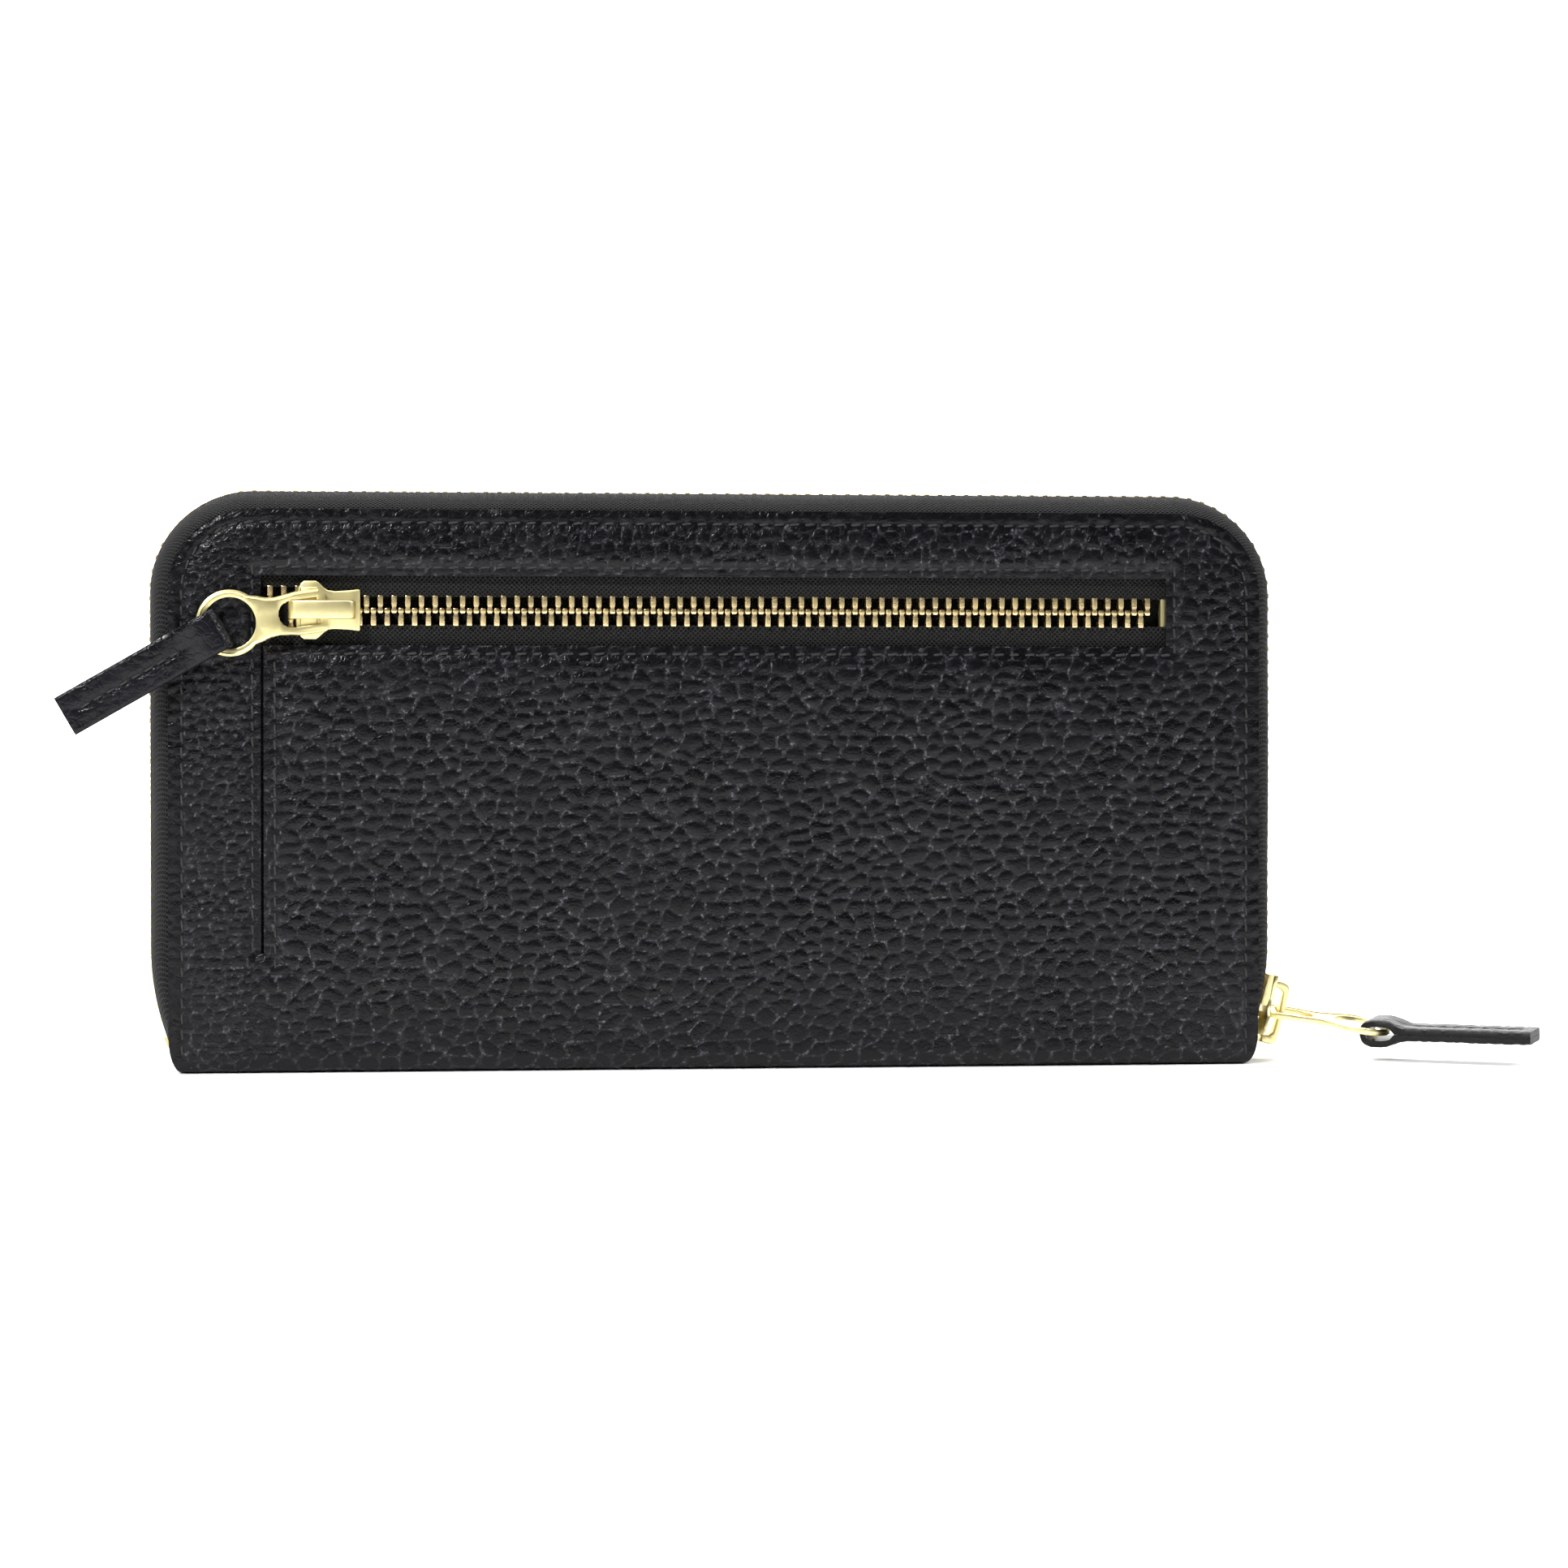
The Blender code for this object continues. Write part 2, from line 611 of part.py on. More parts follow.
def metal_pull(name, axis):
    """The stamped pull: a bar under the crown, a waisted neck and a round eye."""
    side = [(-PULL_BAR, PULL_ARM - 0.6 * MM), (0, PULL_ARM), (5 * MM, PULL_ARM), (9.5 * MM, PULL_NECK)]
    turn = 125
    eye = arc((EYE_CENTRE, 0), EYE_OUTER, turn, -turn, 3 * ARC_STEPS)
    outline = side + eye + [(u, -v) for u, v in reversed(side)]
    hole = [
        (PULL_BAR, -PULL_HOLE_HALF),
        (PULL_BAR, PULL_HOLE_HALF),
        (PULL_HOLE_END - 1.5 * MM, PULL_HOLE_HALF),
        (PULL_HOLE_END, PULL_HOLE_HALF - 1.5 * MM),
        (PULL_HOLE_END, -PULL_HOLE_HALF + 1.5 * MM),
        (PULL_HOLE_END - 1.5 * MM, -PULL_HOLE_HALF),
    ]
    ring = arc((EYE_CENTRE, 0), EYE_INNER, 0, 360, 3 * ARC_STEPS)[:-1]
    half = PULL_THICKNESS / 2
    add_object(name, prism(outline, -half, half, flat, [hole, ring]), brass, axis)


def leather_tab(name, axis):
    """A strap folded through the eye and stitched to itself, with the eye's bar in its loop."""
    slot = TAB_SLOT_HALF
    out = slot + TAB_PLY
    loop = arc((-TAB_SLOT_IN + slot, 0), out, 90, 270, ARC_STEPS)
    neck = 4 * MM
    outline = loop + [(neck / 4, -out), (neck, -TAB_PLY), (TAB_LENGTH, -TAB_PLY)]
    outline += [(TAB_LENGTH, TAB_PLY), (neck, TAB_PLY), (neck / 4, out)]
    hole = arc((-TAB_SLOT_IN + slot, 0), slot, 90, 270, 4) + [(TAB_SLOT_OUT, -slot), (TAB_SLOT_OUT, slot)]
    half = TAB_WIDTH / 2
    add_object(name, prism(outline, -half, half, edge_on, [hole]), leather, axis)


def make_slider_set(word, slider_axis, pull_along, pull_out, tab_turn, tab_along, tab_out):
    """A slider, its pull and its leather tab. Directions are in their parent's own axes."""
    slider_body(f"{word}_slider_body", slider_axis)
    slider_crown(f"{word}_slider_crown", slider_axis)
    pivot = Vector((PULL_PIVOT_A, 0, PULL_PIVOT_C))
    pull_axis = add_axis(f"{word}_pull_axis", pivot, pull_along, pull_out, slider_axis)
    metal_pull(f"{word}_pull_tab", pull_axis)
    bar = Vector((EYE_CENTRE + EYE_BAR * math.cos(tab_turn), EYE_BAR * math.sin(tab_turn), 0))
    tab_axis = add_axis(f"{word}_tab_axis", bar, tab_along, tab_out, pull_axis)
    leather_tab(f"{word}_leather_tab", tab_axis)


def make_main_slider():
    """The slider stands at the lower right with its nose down and its pull held straight out."""
    tilt, roll = MAIN_SLIDER_TILT, MAIN_PULL_ROLL
    middle = rim_point(MAIN_SLIDER_Z - TAPE_FOOT, CHAIN_OUT, 0)
    along = Vector((math.sin(tilt), 0, math.cos(tilt)))
    out = Vector((math.cos(tilt), 0, -math.sin(tilt)))
    axis = add_axis("main_slider_axis", middle - along * SLIDER_LENGTH / 2, along, out)
    yaw, turn, rise = MAIN_PULL_YAW, -MAIN_TAB_YAW, MAIN_TAB_RISE
    make_slider_set(
        "main", axis,
        pull_along=(math.sin(MAIN_PULL_UP), math.sin(yaw), math.cos(yaw)),
        pull_out=(math.cos(roll), math.sin(roll), 0),
        tab_turn=turn,
        tab_along=(math.cos(turn) * math.cos(rise), math.sin(turn) * math.cos(rise), math.sin(rise)),
        tab_out=(0, 0, 1),
    )


def make_pocket_slider():
    """The slider stands at the left end, and its pull lies back over its nose."""
    nose = Vector((POCKET_SLIDER_NOSE, POCKET_CHAIN_Y, POCKET_CHAIN_Z))
    axis = add_axis("pocket_slider_axis", nose, (1, 0, 0), (0, -1, 0))
    lift, droop, turn = POCKET_PULL_LIFT, POCKET_PULL_DROOP, POCKET_TAB_DROOP
    along = Vector((-math.cos(lift) * math.cos(droop), -math.cos(lift) * math.sin(droop), math.sin(lift)))
    make_slider_set(
        "pocket", axis,
        pull_along=along,
        pull_out=(0, 0, 1),
        tab_turn=turn,
        tab_along=(math.cos(turn) * math.cos(lift), math.sin(turn) * math.cos(lift), -math.sin(lift)),
        tab_out=(0, 0, 1),
    )


def main():
    clear_scene()
    make_outer_leather()
    make_front_layers()
    make_back_layers()
    make_centre_pocket()
    make_main_zip()
    make_pocket_zip()
    make_main_slider()
    make_pocket_slider()
    bpy.context.view_layer.update()


main()
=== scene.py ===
"""Looks of the zip around wallet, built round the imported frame.

Everything is in metres in the frame's own axes: X along the wallet, the front cover
faces -Y, +Z up, and the origin is the middle of the spine's underside.
"""

import math

import bmesh
import bpy
import numpy as np
from mathutils import Matrix, Vector, kdtree, noise


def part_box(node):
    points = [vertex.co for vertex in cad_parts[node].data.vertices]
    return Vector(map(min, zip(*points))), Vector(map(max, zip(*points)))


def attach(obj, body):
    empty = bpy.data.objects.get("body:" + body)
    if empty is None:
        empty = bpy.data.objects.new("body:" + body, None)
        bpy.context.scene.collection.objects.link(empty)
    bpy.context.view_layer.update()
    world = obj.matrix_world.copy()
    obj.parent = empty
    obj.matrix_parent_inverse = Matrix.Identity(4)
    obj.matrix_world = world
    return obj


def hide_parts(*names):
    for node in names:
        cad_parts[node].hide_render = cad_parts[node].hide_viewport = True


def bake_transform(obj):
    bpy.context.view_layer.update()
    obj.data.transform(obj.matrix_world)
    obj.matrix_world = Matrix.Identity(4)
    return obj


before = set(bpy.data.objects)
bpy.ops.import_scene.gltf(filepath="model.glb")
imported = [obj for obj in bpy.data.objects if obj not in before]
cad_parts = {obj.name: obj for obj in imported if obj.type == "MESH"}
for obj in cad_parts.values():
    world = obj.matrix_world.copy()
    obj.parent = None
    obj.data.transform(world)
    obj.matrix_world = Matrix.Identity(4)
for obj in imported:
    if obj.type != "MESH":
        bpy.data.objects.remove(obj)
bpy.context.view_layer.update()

MM = 0.001
FRONT, BACK = -1, 1

# Covers, read from the frame where it gives them
LOW, HIGH = (Vector(corner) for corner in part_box("front_cover_leather"))
HALF_LENGTH = HIGH.x
TOP = HIGH.z
HALF_THICKNESS = -LOW.y
LEATHER = HIGH.y - LOW.y
CORNER_R = 15.0 * MM
CORNER_X = HALF_LENGTH - CORNER_R
CORNER_Z = TOP - CORNER_R
FOOT_TAPER = 2.8 * MM
FOOT_HEIGHT = 6.0 * MM
FOLD_R = 2.4 * MM
FOLD_Y = HALF_THICKNESS - LEATHER
EDGE_SINK = 0.35 * MM               # the leather is pressed thinner along its cut edge

# Window and slit of the front pocket
WINDOW_LEFT = -82.6 * MM
WINDOW_RIGHT = 81.6 * MM
WINDOW_LOW = 76.6 * MM
WINDOW_HIGH = 89.1 * MM
SLIT_FOOT = 21.5 * MM
SLIT_WIDTH = 0.5 * MM

# Grain and stitching
GRAIN_STEP = 0.5 * MM               # the leather mesh's grid
PEBBLE_X = 3.5 * MM
PEBBLE_Z = 2.3 * MM
PEBBLE_DEPTH = 0.3 * MM
STITCH_PITCH = 2.8 * MM
STITCH_LENGTH = 2.1 * MM
STITCH_INSET = 2.4 * MM
THREAD_R = 0.24 * MM

# Zips
PITCH = 2.45 * MM
CHAIN_OUT = 3.1 * MM
TAPE = 0.5 * MM
TAPE_SEAM = 6.0 * MM
TAPE_Y = FOLD_Y - 0.55 * MM
TAPE_TURN = 1.0 * MM
TAPE_START = 2.5 * MM
TAPE_FOOT = 3.2 * MM
TUCK = 5.4 * MM
TUCK_HEIGHT = 22.0 * MM
TOOTH_FOOT = 3.0 * MM
SPREAD = 1.7 * MM
TOOTH_SINK = 0.4 * MM               # the rim's teeth sit low between their two tapes
RIM_SIDE = CORNER_Z - TAPE_FOOT
RIM_CHAIN_R = CORNER_R + CHAIN_OUT
RIM_ARC = RIM_CHAIN_R * math.pi / 2
RIM_LENGTH = 2 * RIM_SIDE + 2 * RIM_ARC + 2 * CORNER_X
POCKET_CHAIN_Y = -(FOLD_Y - 0.55 * MM)
POCKET_CHAIN_Z = (WINDOW_LOW + WINDOW_HIGH) / 2
POCKET_TAPE_HALF = 8.2 * MM
MAIN_SLIDER_Z = 10.8 * MM
MAIN_SLIDER_TILT = math.radians(15)
POCKET_SLIDER_NOSE = -76.4 * MM
SLIDER_LENGTH = 11.5 * MM
PULL_PIVOT_A = 4.85 * MM
PULL_PIVOT_C = 3.7 * MM
EYE_CENTRE = 16.6 * MM
EYE_OUTER = 5.95 * MM
EYE_INNER = 4.6 * MM
EYE_BAR = (EYE_OUTER + EYE_INNER) / 2
TAB_LENGTH = 28.0 * MM
TAB_WIDTH = 7.5 * MM
TAB_PLY = 1.2 * MM
TAB_SLOT = 1.3 * MM
TAB_SLOT_IN = 3.0 * MM

random = np.random.RandomState(7)


# ---------------------------------------------------------------- materials

def new_material(name, colour, roughness, metallic=0.0):
    material = bpy.data.materials.new(name)
    material.use_nodes = True
    nodes, links = material.node_tree.nodes, material.node_tree.links
    shader = nodes["Principled BSDF"]
    shader.inputs["Base Color"].default_value = (*colour, 1)
    shader.inputs["Roughness"].default_value = roughness
    shader.inputs["Metallic"].default_value = metallic
    return material, nodes, links, shader


def coordinates(nodes, links, stretch=(1, 1, 1)):
    place = nodes.new("ShaderNodeTexCoord")
    mapping = nodes.new("ShaderNodeMapping")
    mapping.inputs["Scale"].default_value = stretch
    links.new(place.outputs["Object"], mapping.inputs["Vector"])
    return mapping.outputs["Vector"]


def noise_node(nodes, links, vector, scale, detail=4.0, rough=0.6):
    node = nodes.new("ShaderNodeTexNoise")
    node.inputs["Scale"].default_value = scale
    node.inputs["Detail"].default_value = detail
    node.inputs["Roughness"].default_value = rough
    links.new(vector, node.inputs["Vector"])
    return node.outputs["Fac"]


def ramp_node(nodes, links, value, stops):
    node = nodes.new("ShaderNodeValToRGB")
    ramp = node.color_ramp
    while len(ramp.elements) < len(stops):
        ramp.elements.new(0.5)
    for element, (place, colour) in zip(ramp.elements, stops):
        element.position = place
        element.color = (*colour, 1)
    links.new(value, node.inputs["Fac"])
    return node.outputs["Color"]


def bump_node(nodes, links, height, distance, strength, below=None):
    node = nodes.new("ShaderNodeBump")
    node.inputs["Distance"].default_value = distance
    node.inputs["Strength"].default_value = strength
    links.new(height, node.inputs["Height"])
    if below is not None:
        links.new(below, node.inputs["Normal"])
    return node.outputs["Normal"]


def math_node(nodes, links, operation, first, second):
    node = nodes.new("ShaderNodeMath")
    node.operation = operation
    for socket, value in zip(node.inputs, (first, second)):
        if isinstance(value, (int, float)):
            socket.default_value = value
        else:
            links.new(value, socket)
    return node.outputs[0]


def grey(value, tint=1.0):
    return (value, value, value * tint)


def paint_crease_highlights(nodes, links, vector, tone, wear_and_sheen):
    """Paints highlights, a pale colour, on the shoulders of the pebbles in broken lines, where the mesh's grain
    falls away.
    """
    grain = nodes.new("ShaderNodeAttribute")
    grain.attribute_name = "grain"
    shoulders = ramp_node(
        nodes, links, grain.outputs["Fac"],
        [(0.0, grey(0.5)), (0.16, grey(1.0)), (0.36, grey(0.2)), (0.55, grey(0.0))],
    )
    broken = ramp_node(
        nodes, links, noise_node(nodes, links, vector, 1500.0, 3.0),
        [(0.48, grey(0.06)), (0.6, grey(0.3)), (0.72, grey(1.0))],
    )
    share = math_node(nodes, links, "MULTIPLY", shoulders, broken)
    mix = nodes.new("ShaderNodeMix")
    mix.data_type = "RGBA"
    links.new(share, mix.inputs["Factor"])
    links.new(tone, mix.inputs[6])
    mix.inputs[7].default_value = (*wear_and_sheen, 1)
    return mix.outputs[2], share


def leather_material(name, base=0.0016, pebble=900.0, wrinkle=0.4, rough=(0.22, 0.36), wear_and_sheen=None):
    """Black leather: fine creases and pores by bump, over the grain that the mesh has."""
    material, nodes, links, shader = new_material(name, grey(base, 1.35), 0.42)
    vector = coordinates(nodes, links)
    creases = nodes.new("ShaderNodeTexVoronoi")
    creases.feature = "DISTANCE_TO_EDGE"
    creases.inputs["Scale"].default_value = pebble
    warp = nodes.new("ShaderNodeTexNoise")
    warp.inputs["Scale"].default_value = 600.0
    links.new(vector, warp.inputs["Vector"])
    blend = nodes.new("ShaderNodeMix")
    blend.data_type = "VECTOR"
    blend.inputs["Factor"].default_value = 0.0016
    links.new(vector, blend.inputs[4])
    links.new(warp.outputs["Color"], blend.inputs[5])
    links.new(blend.outputs[1], creases.inputs["Vector"])
    fine = ramp_node(nodes, links, creases.outputs["Distance"], [(0.0, grey(0.0)), (0.12, grey(1.0))])
    pores = noise_node(nodes, links, vector, 2600.0, 3.0)
    mottle = noise_node(nodes, links, vector, 90.0, 5.0)
    tone = ramp_node(nodes, links, mottle, [(0.3, grey(base * 0.75, 1.6)), (0.7, grey(base * 1.35, 1.6))])
    gloss = ramp_node(nodes, links, mottle, [(0.25, grey(rough[0])), (0.75, grey(rough[1]))])
    # painted highlight: a pale colour on the pebbles' shoulders stands in for their sheen
    if wear_and_sheen:
        tone, share = paint_crease_highlights(nodes, links, vector, tone, wear_and_sheen)
        gloss = math_node(nodes, links, "SUBTRACT", gloss, math_node(nodes, links, "MULTIPLY", share, 0.2))
    links.new(tone, shader.inputs["Base Color"])
    links.new(gloss, shader.inputs["Roughness"])
    low = bump_node(nodes, links, fine, 0.00006, wrinkle)
    normal = bump_node(nodes, links, pores, 0.00004, 0.35, low)
    links.new(normal, shader.inputs["Normal"])
    shader.inputs["Specular IOR Level"].default_value = 0.22
    return material


def edge_material(name):
    """The painted, burnished cut edge of the leather."""
    material, nodes, links, shader = new_material(name, grey(0.004), 0.5)
    vector = coordinates(nodes, links)
    fibres = noise_node(nodes, links, vector, 900.0, 5.0, 0.7)
    tone = ramp_node(nodes, links, fibres, [(0.3, grey(0.002)), (0.8, grey(0.008))])
    shader.inputs["Specular IOR Level"].default_value = 0.2
    links.new(tone, shader.inputs["Base Color"])
    links.new(bump_node(nodes, links, fibres, 0.00008, 0.4), shader.inputs["Normal"])
    return material


def woven_material(name, base, rows, rough=0.85, strength=0.9):
    """Woven cloth in object space: two sets of threads that pass over each other in turn."""
    material, nodes, links, shader = new_material(name, grey(base), rough)
    vector = coordinates(nodes, links)
    parts = nodes.new("ShaderNodeSeparateXYZ")
    links.new(vector, parts.inputs[0])
    x, y, z = parts.outputs
    across = math_node(nodes, links, "ADD", y, z)
    u = math_node(nodes, links, "MULTIPLY", x, rows)
    v = math_node(nodes, links, "MULTIPLY", across, rows)
    diagonal = math_node(nodes, links, "SINE", math_node(nodes, links, "ADD", u, v), 0)
    counter = math_node(nodes, links, "SINE", math_node(nodes, links, "SUBTRACT", u, v), 0)
    weave = math_node(nodes, links, "MAXIMUM", diagonal, counter)
    lint = noise_node(nodes, links, vector, 3000.0, 4.0)
    height = math_node(nodes, links, "ADD", weave, lint)
    # painted shade and highlight: the weave's hollows are darkened and the threads' crossings lightened
    tone = ramp_node(nodes, links, weave, [(0.15, grey(base * 0.25)), (0.9, grey(base * 2.6))])
    links.new(tone, shader.inputs["Base Color"])
    links.new(bump_node(nodes, links, height, 0.0003, strength), shader.inputs["Normal"])
    shader.inputs["Specular IOR Level"].default_value = 0.2
    return material


def metal_material(name, colour, rough, wear_and_sheen, grain=900.0):
    """Plated brass: satin, with fine scratches and slightly duller patches."""
    material, nodes, links, shader = new_material(name, colour, sum(rough) / 2, 1.0)
    vector = coordinates(nodes, links)
    patches = noise_node(nodes, links, vector, 260.0, 6.0, 0.7)
    scratches = noise_node(nodes, links, coordinates(nodes, links, (1, 6, 6)), grain, 3.0)
    tone = ramp_node(nodes, links, patches, [(0.25, wear_and_sheen), (0.6, colour)])
    links.new(tone, shader.inputs["Base Color"])
    gloss = ramp_node(nodes, links, patches, [(0.3, grey(rough[1])), (0.7, grey(rough[0]))])
    links.new(gloss, shader.inputs["Roughness"])
    links.new(bump_node(nodes, links, scratches, 0.00003, 0.35), shader.inputs["Normal"])
    return material


def thread_material(name):
    """Black waxed thread with a twist."""
    material, nodes, links, shader = new_material(name, grey(0.008), 0.55)
    twist = noise_node(nodes, links, coordinates(nodes, links, (1, 3, 1)), 2500.0, 2.0)
    tone = ramp_node(nodes, links, twist, [(0.3, grey(0.004)), (0.75, grey(0.022))])
    links.new(tone, shader.inputs["Base Color"])
    links.new(bump_node(nodes, links, twist, 0.0001, 0.7), shader.inputs["Normal"])
    return material


def board_material(name):
    material, nodes, links, shader = new_material(name, (0.2, 0.17, 0.13), 0.95)
    fibres = noise_node(nodes, links, coordinates(nodes, links), 1200.0, 6.0, 0.7)
    tone = ramp_node(nodes, links, fibres, [(0.3, (0.16, 0.13, 0.1)), (0.7, (0.25, 0.21, 0.16))])
    links.new(tone, shader.inputs["Base Color"])
    links.new(bump_node(nodes, links, fibres, 0.00005, 0.4), shader.inputs["Normal"])
    return material


# the pebbled leather's pale colour is a painted highlight on its pebbles' shoulders
PEBBLED = leather_material("pebbled_leather", wear_and_sheen=(0.13, 0.133, 0.148))
SMOOTH = leather_material("inner_leather", 0.004, 1500.0, 0.5, (0.45, 0.62))
TAB_LEATHER = leather_material("tab_leather", 0.003, 700.0, 0.6)
EDGE = edge_material("burnished_edge")
TAPE_CLOTH = woven_material("zip_tape", 0.009, 7200.0)
LINING = woven_material("lining_cloth", 0.005, 11000.0, 0.75, 0.5)
BRASS = metal_material("satin_brass", (0.88, 0.78, 0.40), (0.32, 0.44), (0.76, 0.66, 0.31))
TEETH = metal_material("tooth_brass", (1.0, 0.80, 0.43), (0.2, 0.34), (0.92, 0.70, 0.33))
THREAD = thread_material("black_thread")
BOARD = board_material("grey_board")


# ---------------------------------------------------------------- mesh helpers

def make_piece(name, bm, materials, body, nodes=(), smooth=40):
    """A finished piece from a bmesh, riding on a body. body None leaves it unattached."""
    mesh = bpy.data.meshes.new(name)
    bm.to_mesh(mesh)
    bm.free()
    mesh.shade_smooth()
    mesh.set_sharp_from_angle(angle=math.radians(smooth))
    for material in materials:
        mesh.materials.append(material)
    piece = bpy.data.objects.new(name, mesh)
    bpy.context.scene.collection.objects.link(piece)
    if body:
        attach(piece, body)
    if nodes:
        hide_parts(*nodes)
    return piece


def arc(centre, radius, start, end, steps):
    angles = [math.radians(start + (end - start) * i / steps) for i in range(steps + 1)]
    return [(centre[0] + radius * math.cos(t), centre[1] + radius * math.sin(t)) for t in angles]


def prism(outline, low, high, holes=(), bevel=0.0, segments=2):
    """A flat outline in X and Y with holes, extruded along Z, with its long edges rounded."""
    bm = bmesh.new()
    for loop in (outline, *holes):
        ring = [bm.verts.new((p, q, low)) for p, q in loop]
        for i, vert in enumerate(ring):
            bm.edges.new((vert, ring[(i + 1) % len(ring)]))
    bmesh.ops.triangle_fill(bm, use_beauty=True, edges=bm.edges[:])
    grown = bmesh.ops.extrude_face_region(bm, geom=bm.faces[:])["geom"]
    for item in grown:
        if isinstance(item, bmesh.types.BMVert):
            item.co.z = high
    bmesh.ops.recalc_face_normals(bm, faces=bm.faces)
    if bevel:
        rims = [
            e for e in bm.edges
            if abs(e.verts[0].co.z - e.verts[1].co.z) < 1e-7 and e.calc_face_angle(0) > 1.0
        ]
        bmesh.ops.bevel(bm, geom=rims, offset=bevel, segments=segments, profile=0.5, affect="EDGES")
    return bm


def swap_depth(bm):
    """Turns a prism's outline from X and Y into X and Z, with its depth along Y."""
    for vert in bm.verts:
        vert.co = Vector((vert.co.x, vert.co.z, vert.co.y))
    bmesh.ops.recalc_face_normals(bm, faces=bm.faces)
    return bm


def place(bm, matrix):
    bmesh.ops.transform(bm, matrix=matrix, verts=bm.verts[:])
    return bm


def merge(parts):
    """One bmesh from several."""
    whole = bmesh.new()
    for part in parts:
        mesh = bpy.data.meshes.new("part")
        part.to_mesh(mesh)
        part.free()
        whole.from_mesh(mesh)
        bpy.data.meshes.remove(mesh)
    return whole


def axis_matrix(origin, along, out):
    along, out = Vector(along).normalized(), Vector(out)
    out = (out - along * out.dot(along)).normalized()
    across = out.cross(along)
    turn = Matrix((along, across, out)).transposed().to_4x4()
    return Matrix.Translation(origin) @ turn


def ease(value, low, high):
    t = min(max((value - low) / (high - low), 0), 1)
    return t * t * (3 - 2 * t)


def spaced(marks, step):
    """Values through all the marks, in nearly equal steps."""
    values = [marks[0]]
    for low, high in zip(marks, marks[1:]):
        count = max(1, round((high - low) / step))
        values += [low + (high - low) * (i + 1) / count for i in range(count)]
    return values


# ---------------------------------------------------------------- leather grain

class Grain:
    """Pebbled grain: cells of a jittered lattice, with creases where two cells meet."""

    def __init__(self, seed, cell_x, cell_z, half_x, low_z, high_z):
        picks = np.random.RandomState(seed)
        self.cell = cell_x, cell_z
        columns = int(2 * half_x / cell_x) + 4
        rows = int((high_z - low_z) / cell_z) + 4
        self.tree = kdtree.KDTree(columns * rows)
        for row in range(rows):
            for column in range(columns):
                shift = 0.5 * (row % 2)
                jitter = picks.uniform(-0.42, 0.42, 2)
                u = (column + shift + jitter[0]) - half_x / cell_x - 1
                v = (row + jitter[1]) + low_z / cell_z - 1
                self.tree.insert((u, v, 0), row * columns + column)
        self.tree.balance()

    def height(self, x, z):
        """0 in a crease, near 1 on top of a pebble."""
        bend = noise.noise_vector(Vector((x, z, 0)) * 260) * 0.35
        point = (x / self.cell[0] + bend.x, z / self.cell[1] + bend.y, 0)
        near, far = (hit[2] for hit in self.tree.find_n(point, 2))
        edge = far - near
        return (1 - math.exp(-(edge / 0.22) ** 2)) * (1 - 0.35 * near * near)


MAIN_GRAIN = Grain(11, PEBBLE_X, PEBBLE_Z, HALF_LENGTH, -0.012, TOP)
FINE_GRAIN = Grain(12, 2.4 * MM, 1.7 * MM, HALF_LENGTH, -0.012, TOP)
TALL_GRAIN = Grain(13, 2.3 * MM, 2.7 * MM, HALF_LENGTH, -0.012, TOP)


def grain_depth(x, z, side):
    """The grain at a place on a cover: 0 in a crease to 1 on a pebble, and how deep it is there."""
    if side == FRONT:
        left = 1 - ease(x, WINDOW_LEFT - 3 * MM, WINDOW_LEFT + 3 * MM)
        above = ease(z, WINDOW_HIGH - 2 * MM, WINDOW_HIGH + 2 * MM)
    else:
        left = above = 0.0
    calm = 0.45 + 0.55 * ease(z, 4 * MM, 26 * MM)
    sway = 0.75 + 0.5 * noise.noise(Vector((x * 38, z * 38, side)))
    value = MAIN_GRAIN.height(x * side, z)
    if left > 0.01:
        value += (FINE_GRAIN.height(x, z) * 0.85 - value) * left
    if above > 0.01 and left < 0.99:
        value += (TALL_GRAIN.height(x, z) - value) * above * (1 - left)
    return value, PEBBLE_DEPTH * calm * sway


# ---------------------------------------------------------------- covers

def outline_half(z):
    """Half the cover's length at a height."""
    if z > CORNER_Z:
        drop = min(z - CORNER_Z, CORNER_R)
        return CORNER_X + math.sqrt(max(CORNER_R ** 2 - drop ** 2, 0))
    if z < FOOT_HEIGHT:
        t = 1 - max(z, 0) / FOOT_HEIGHT
        return HALF_LENGTH - FOOT_TAPER * (1 - math.sqrt(max(1 - t * t, 0)))
    return HALF_LENGTH


def edge_distance(x, z):
    """How far a place lies inside the cover's cut edge, by its top and two sides."""
    x = abs(x)
    if x > CORNER_X and z > CORNER_Z:
        return CORNER_R - math.hypot(x - CORNER_X, z - CORNER_Z)
    return min(outline_half(z) - x, TOP - z)


def stitch_lines(side):
    """The rows of stitching on a cover, each as a list of (x, z) points."""
    inset = STITCH_INSET
    radius = CORNER_R - inset
    outer = [(HALF_LENGTH - inset, 1.5 * MM)]
    outer += arc((CORNER_X, CORNER_Z), radius, 0, 90, 10)
    outer += arc((-CORNER_X, CORNER_Z), radius, 90, 180, 10)
    outer += [(-HALF_LENGTH + inset, 1.5 * MM)]
    if side == BACK:
        return [outer]
    gap = 1.5 * MM
    left, right = WINDOW_LEFT - gap, WINDOW_RIGHT + gap
    low, high = WINDOW_LOW - gap, WINDOW_HIGH + gap
    slit_right = WINDOW_LEFT + SLIT_WIDTH + 2.0 * MM
    return [
        outer,
        [(left, SLIT_FOOT), (left, high), (right, high), (right, low), (slit_right + 2 * MM, low)],
        [(slit_right, low - 1 * MM), (slit_right, SLIT_FOOT - 2 * MM)],
    ]


def walk(line, pitch):
    """Places a pitch apart along a line of points: (x, z, direction)."""
    places, carried = [], pitch / 2
    for (x0, z0), (x1, z1) in zip(line, line[1:]):
        length = math.hypot(x1 - x0, z1 - z0)
        while carried < length:
            t = carried / length
            places.append((x0 + (x1 - x0) * t, z0 + (z1 - z0) * t, math.atan2(z1 - z0, x1 - x0)))
            carried += pitch
        carried -= length
    return places


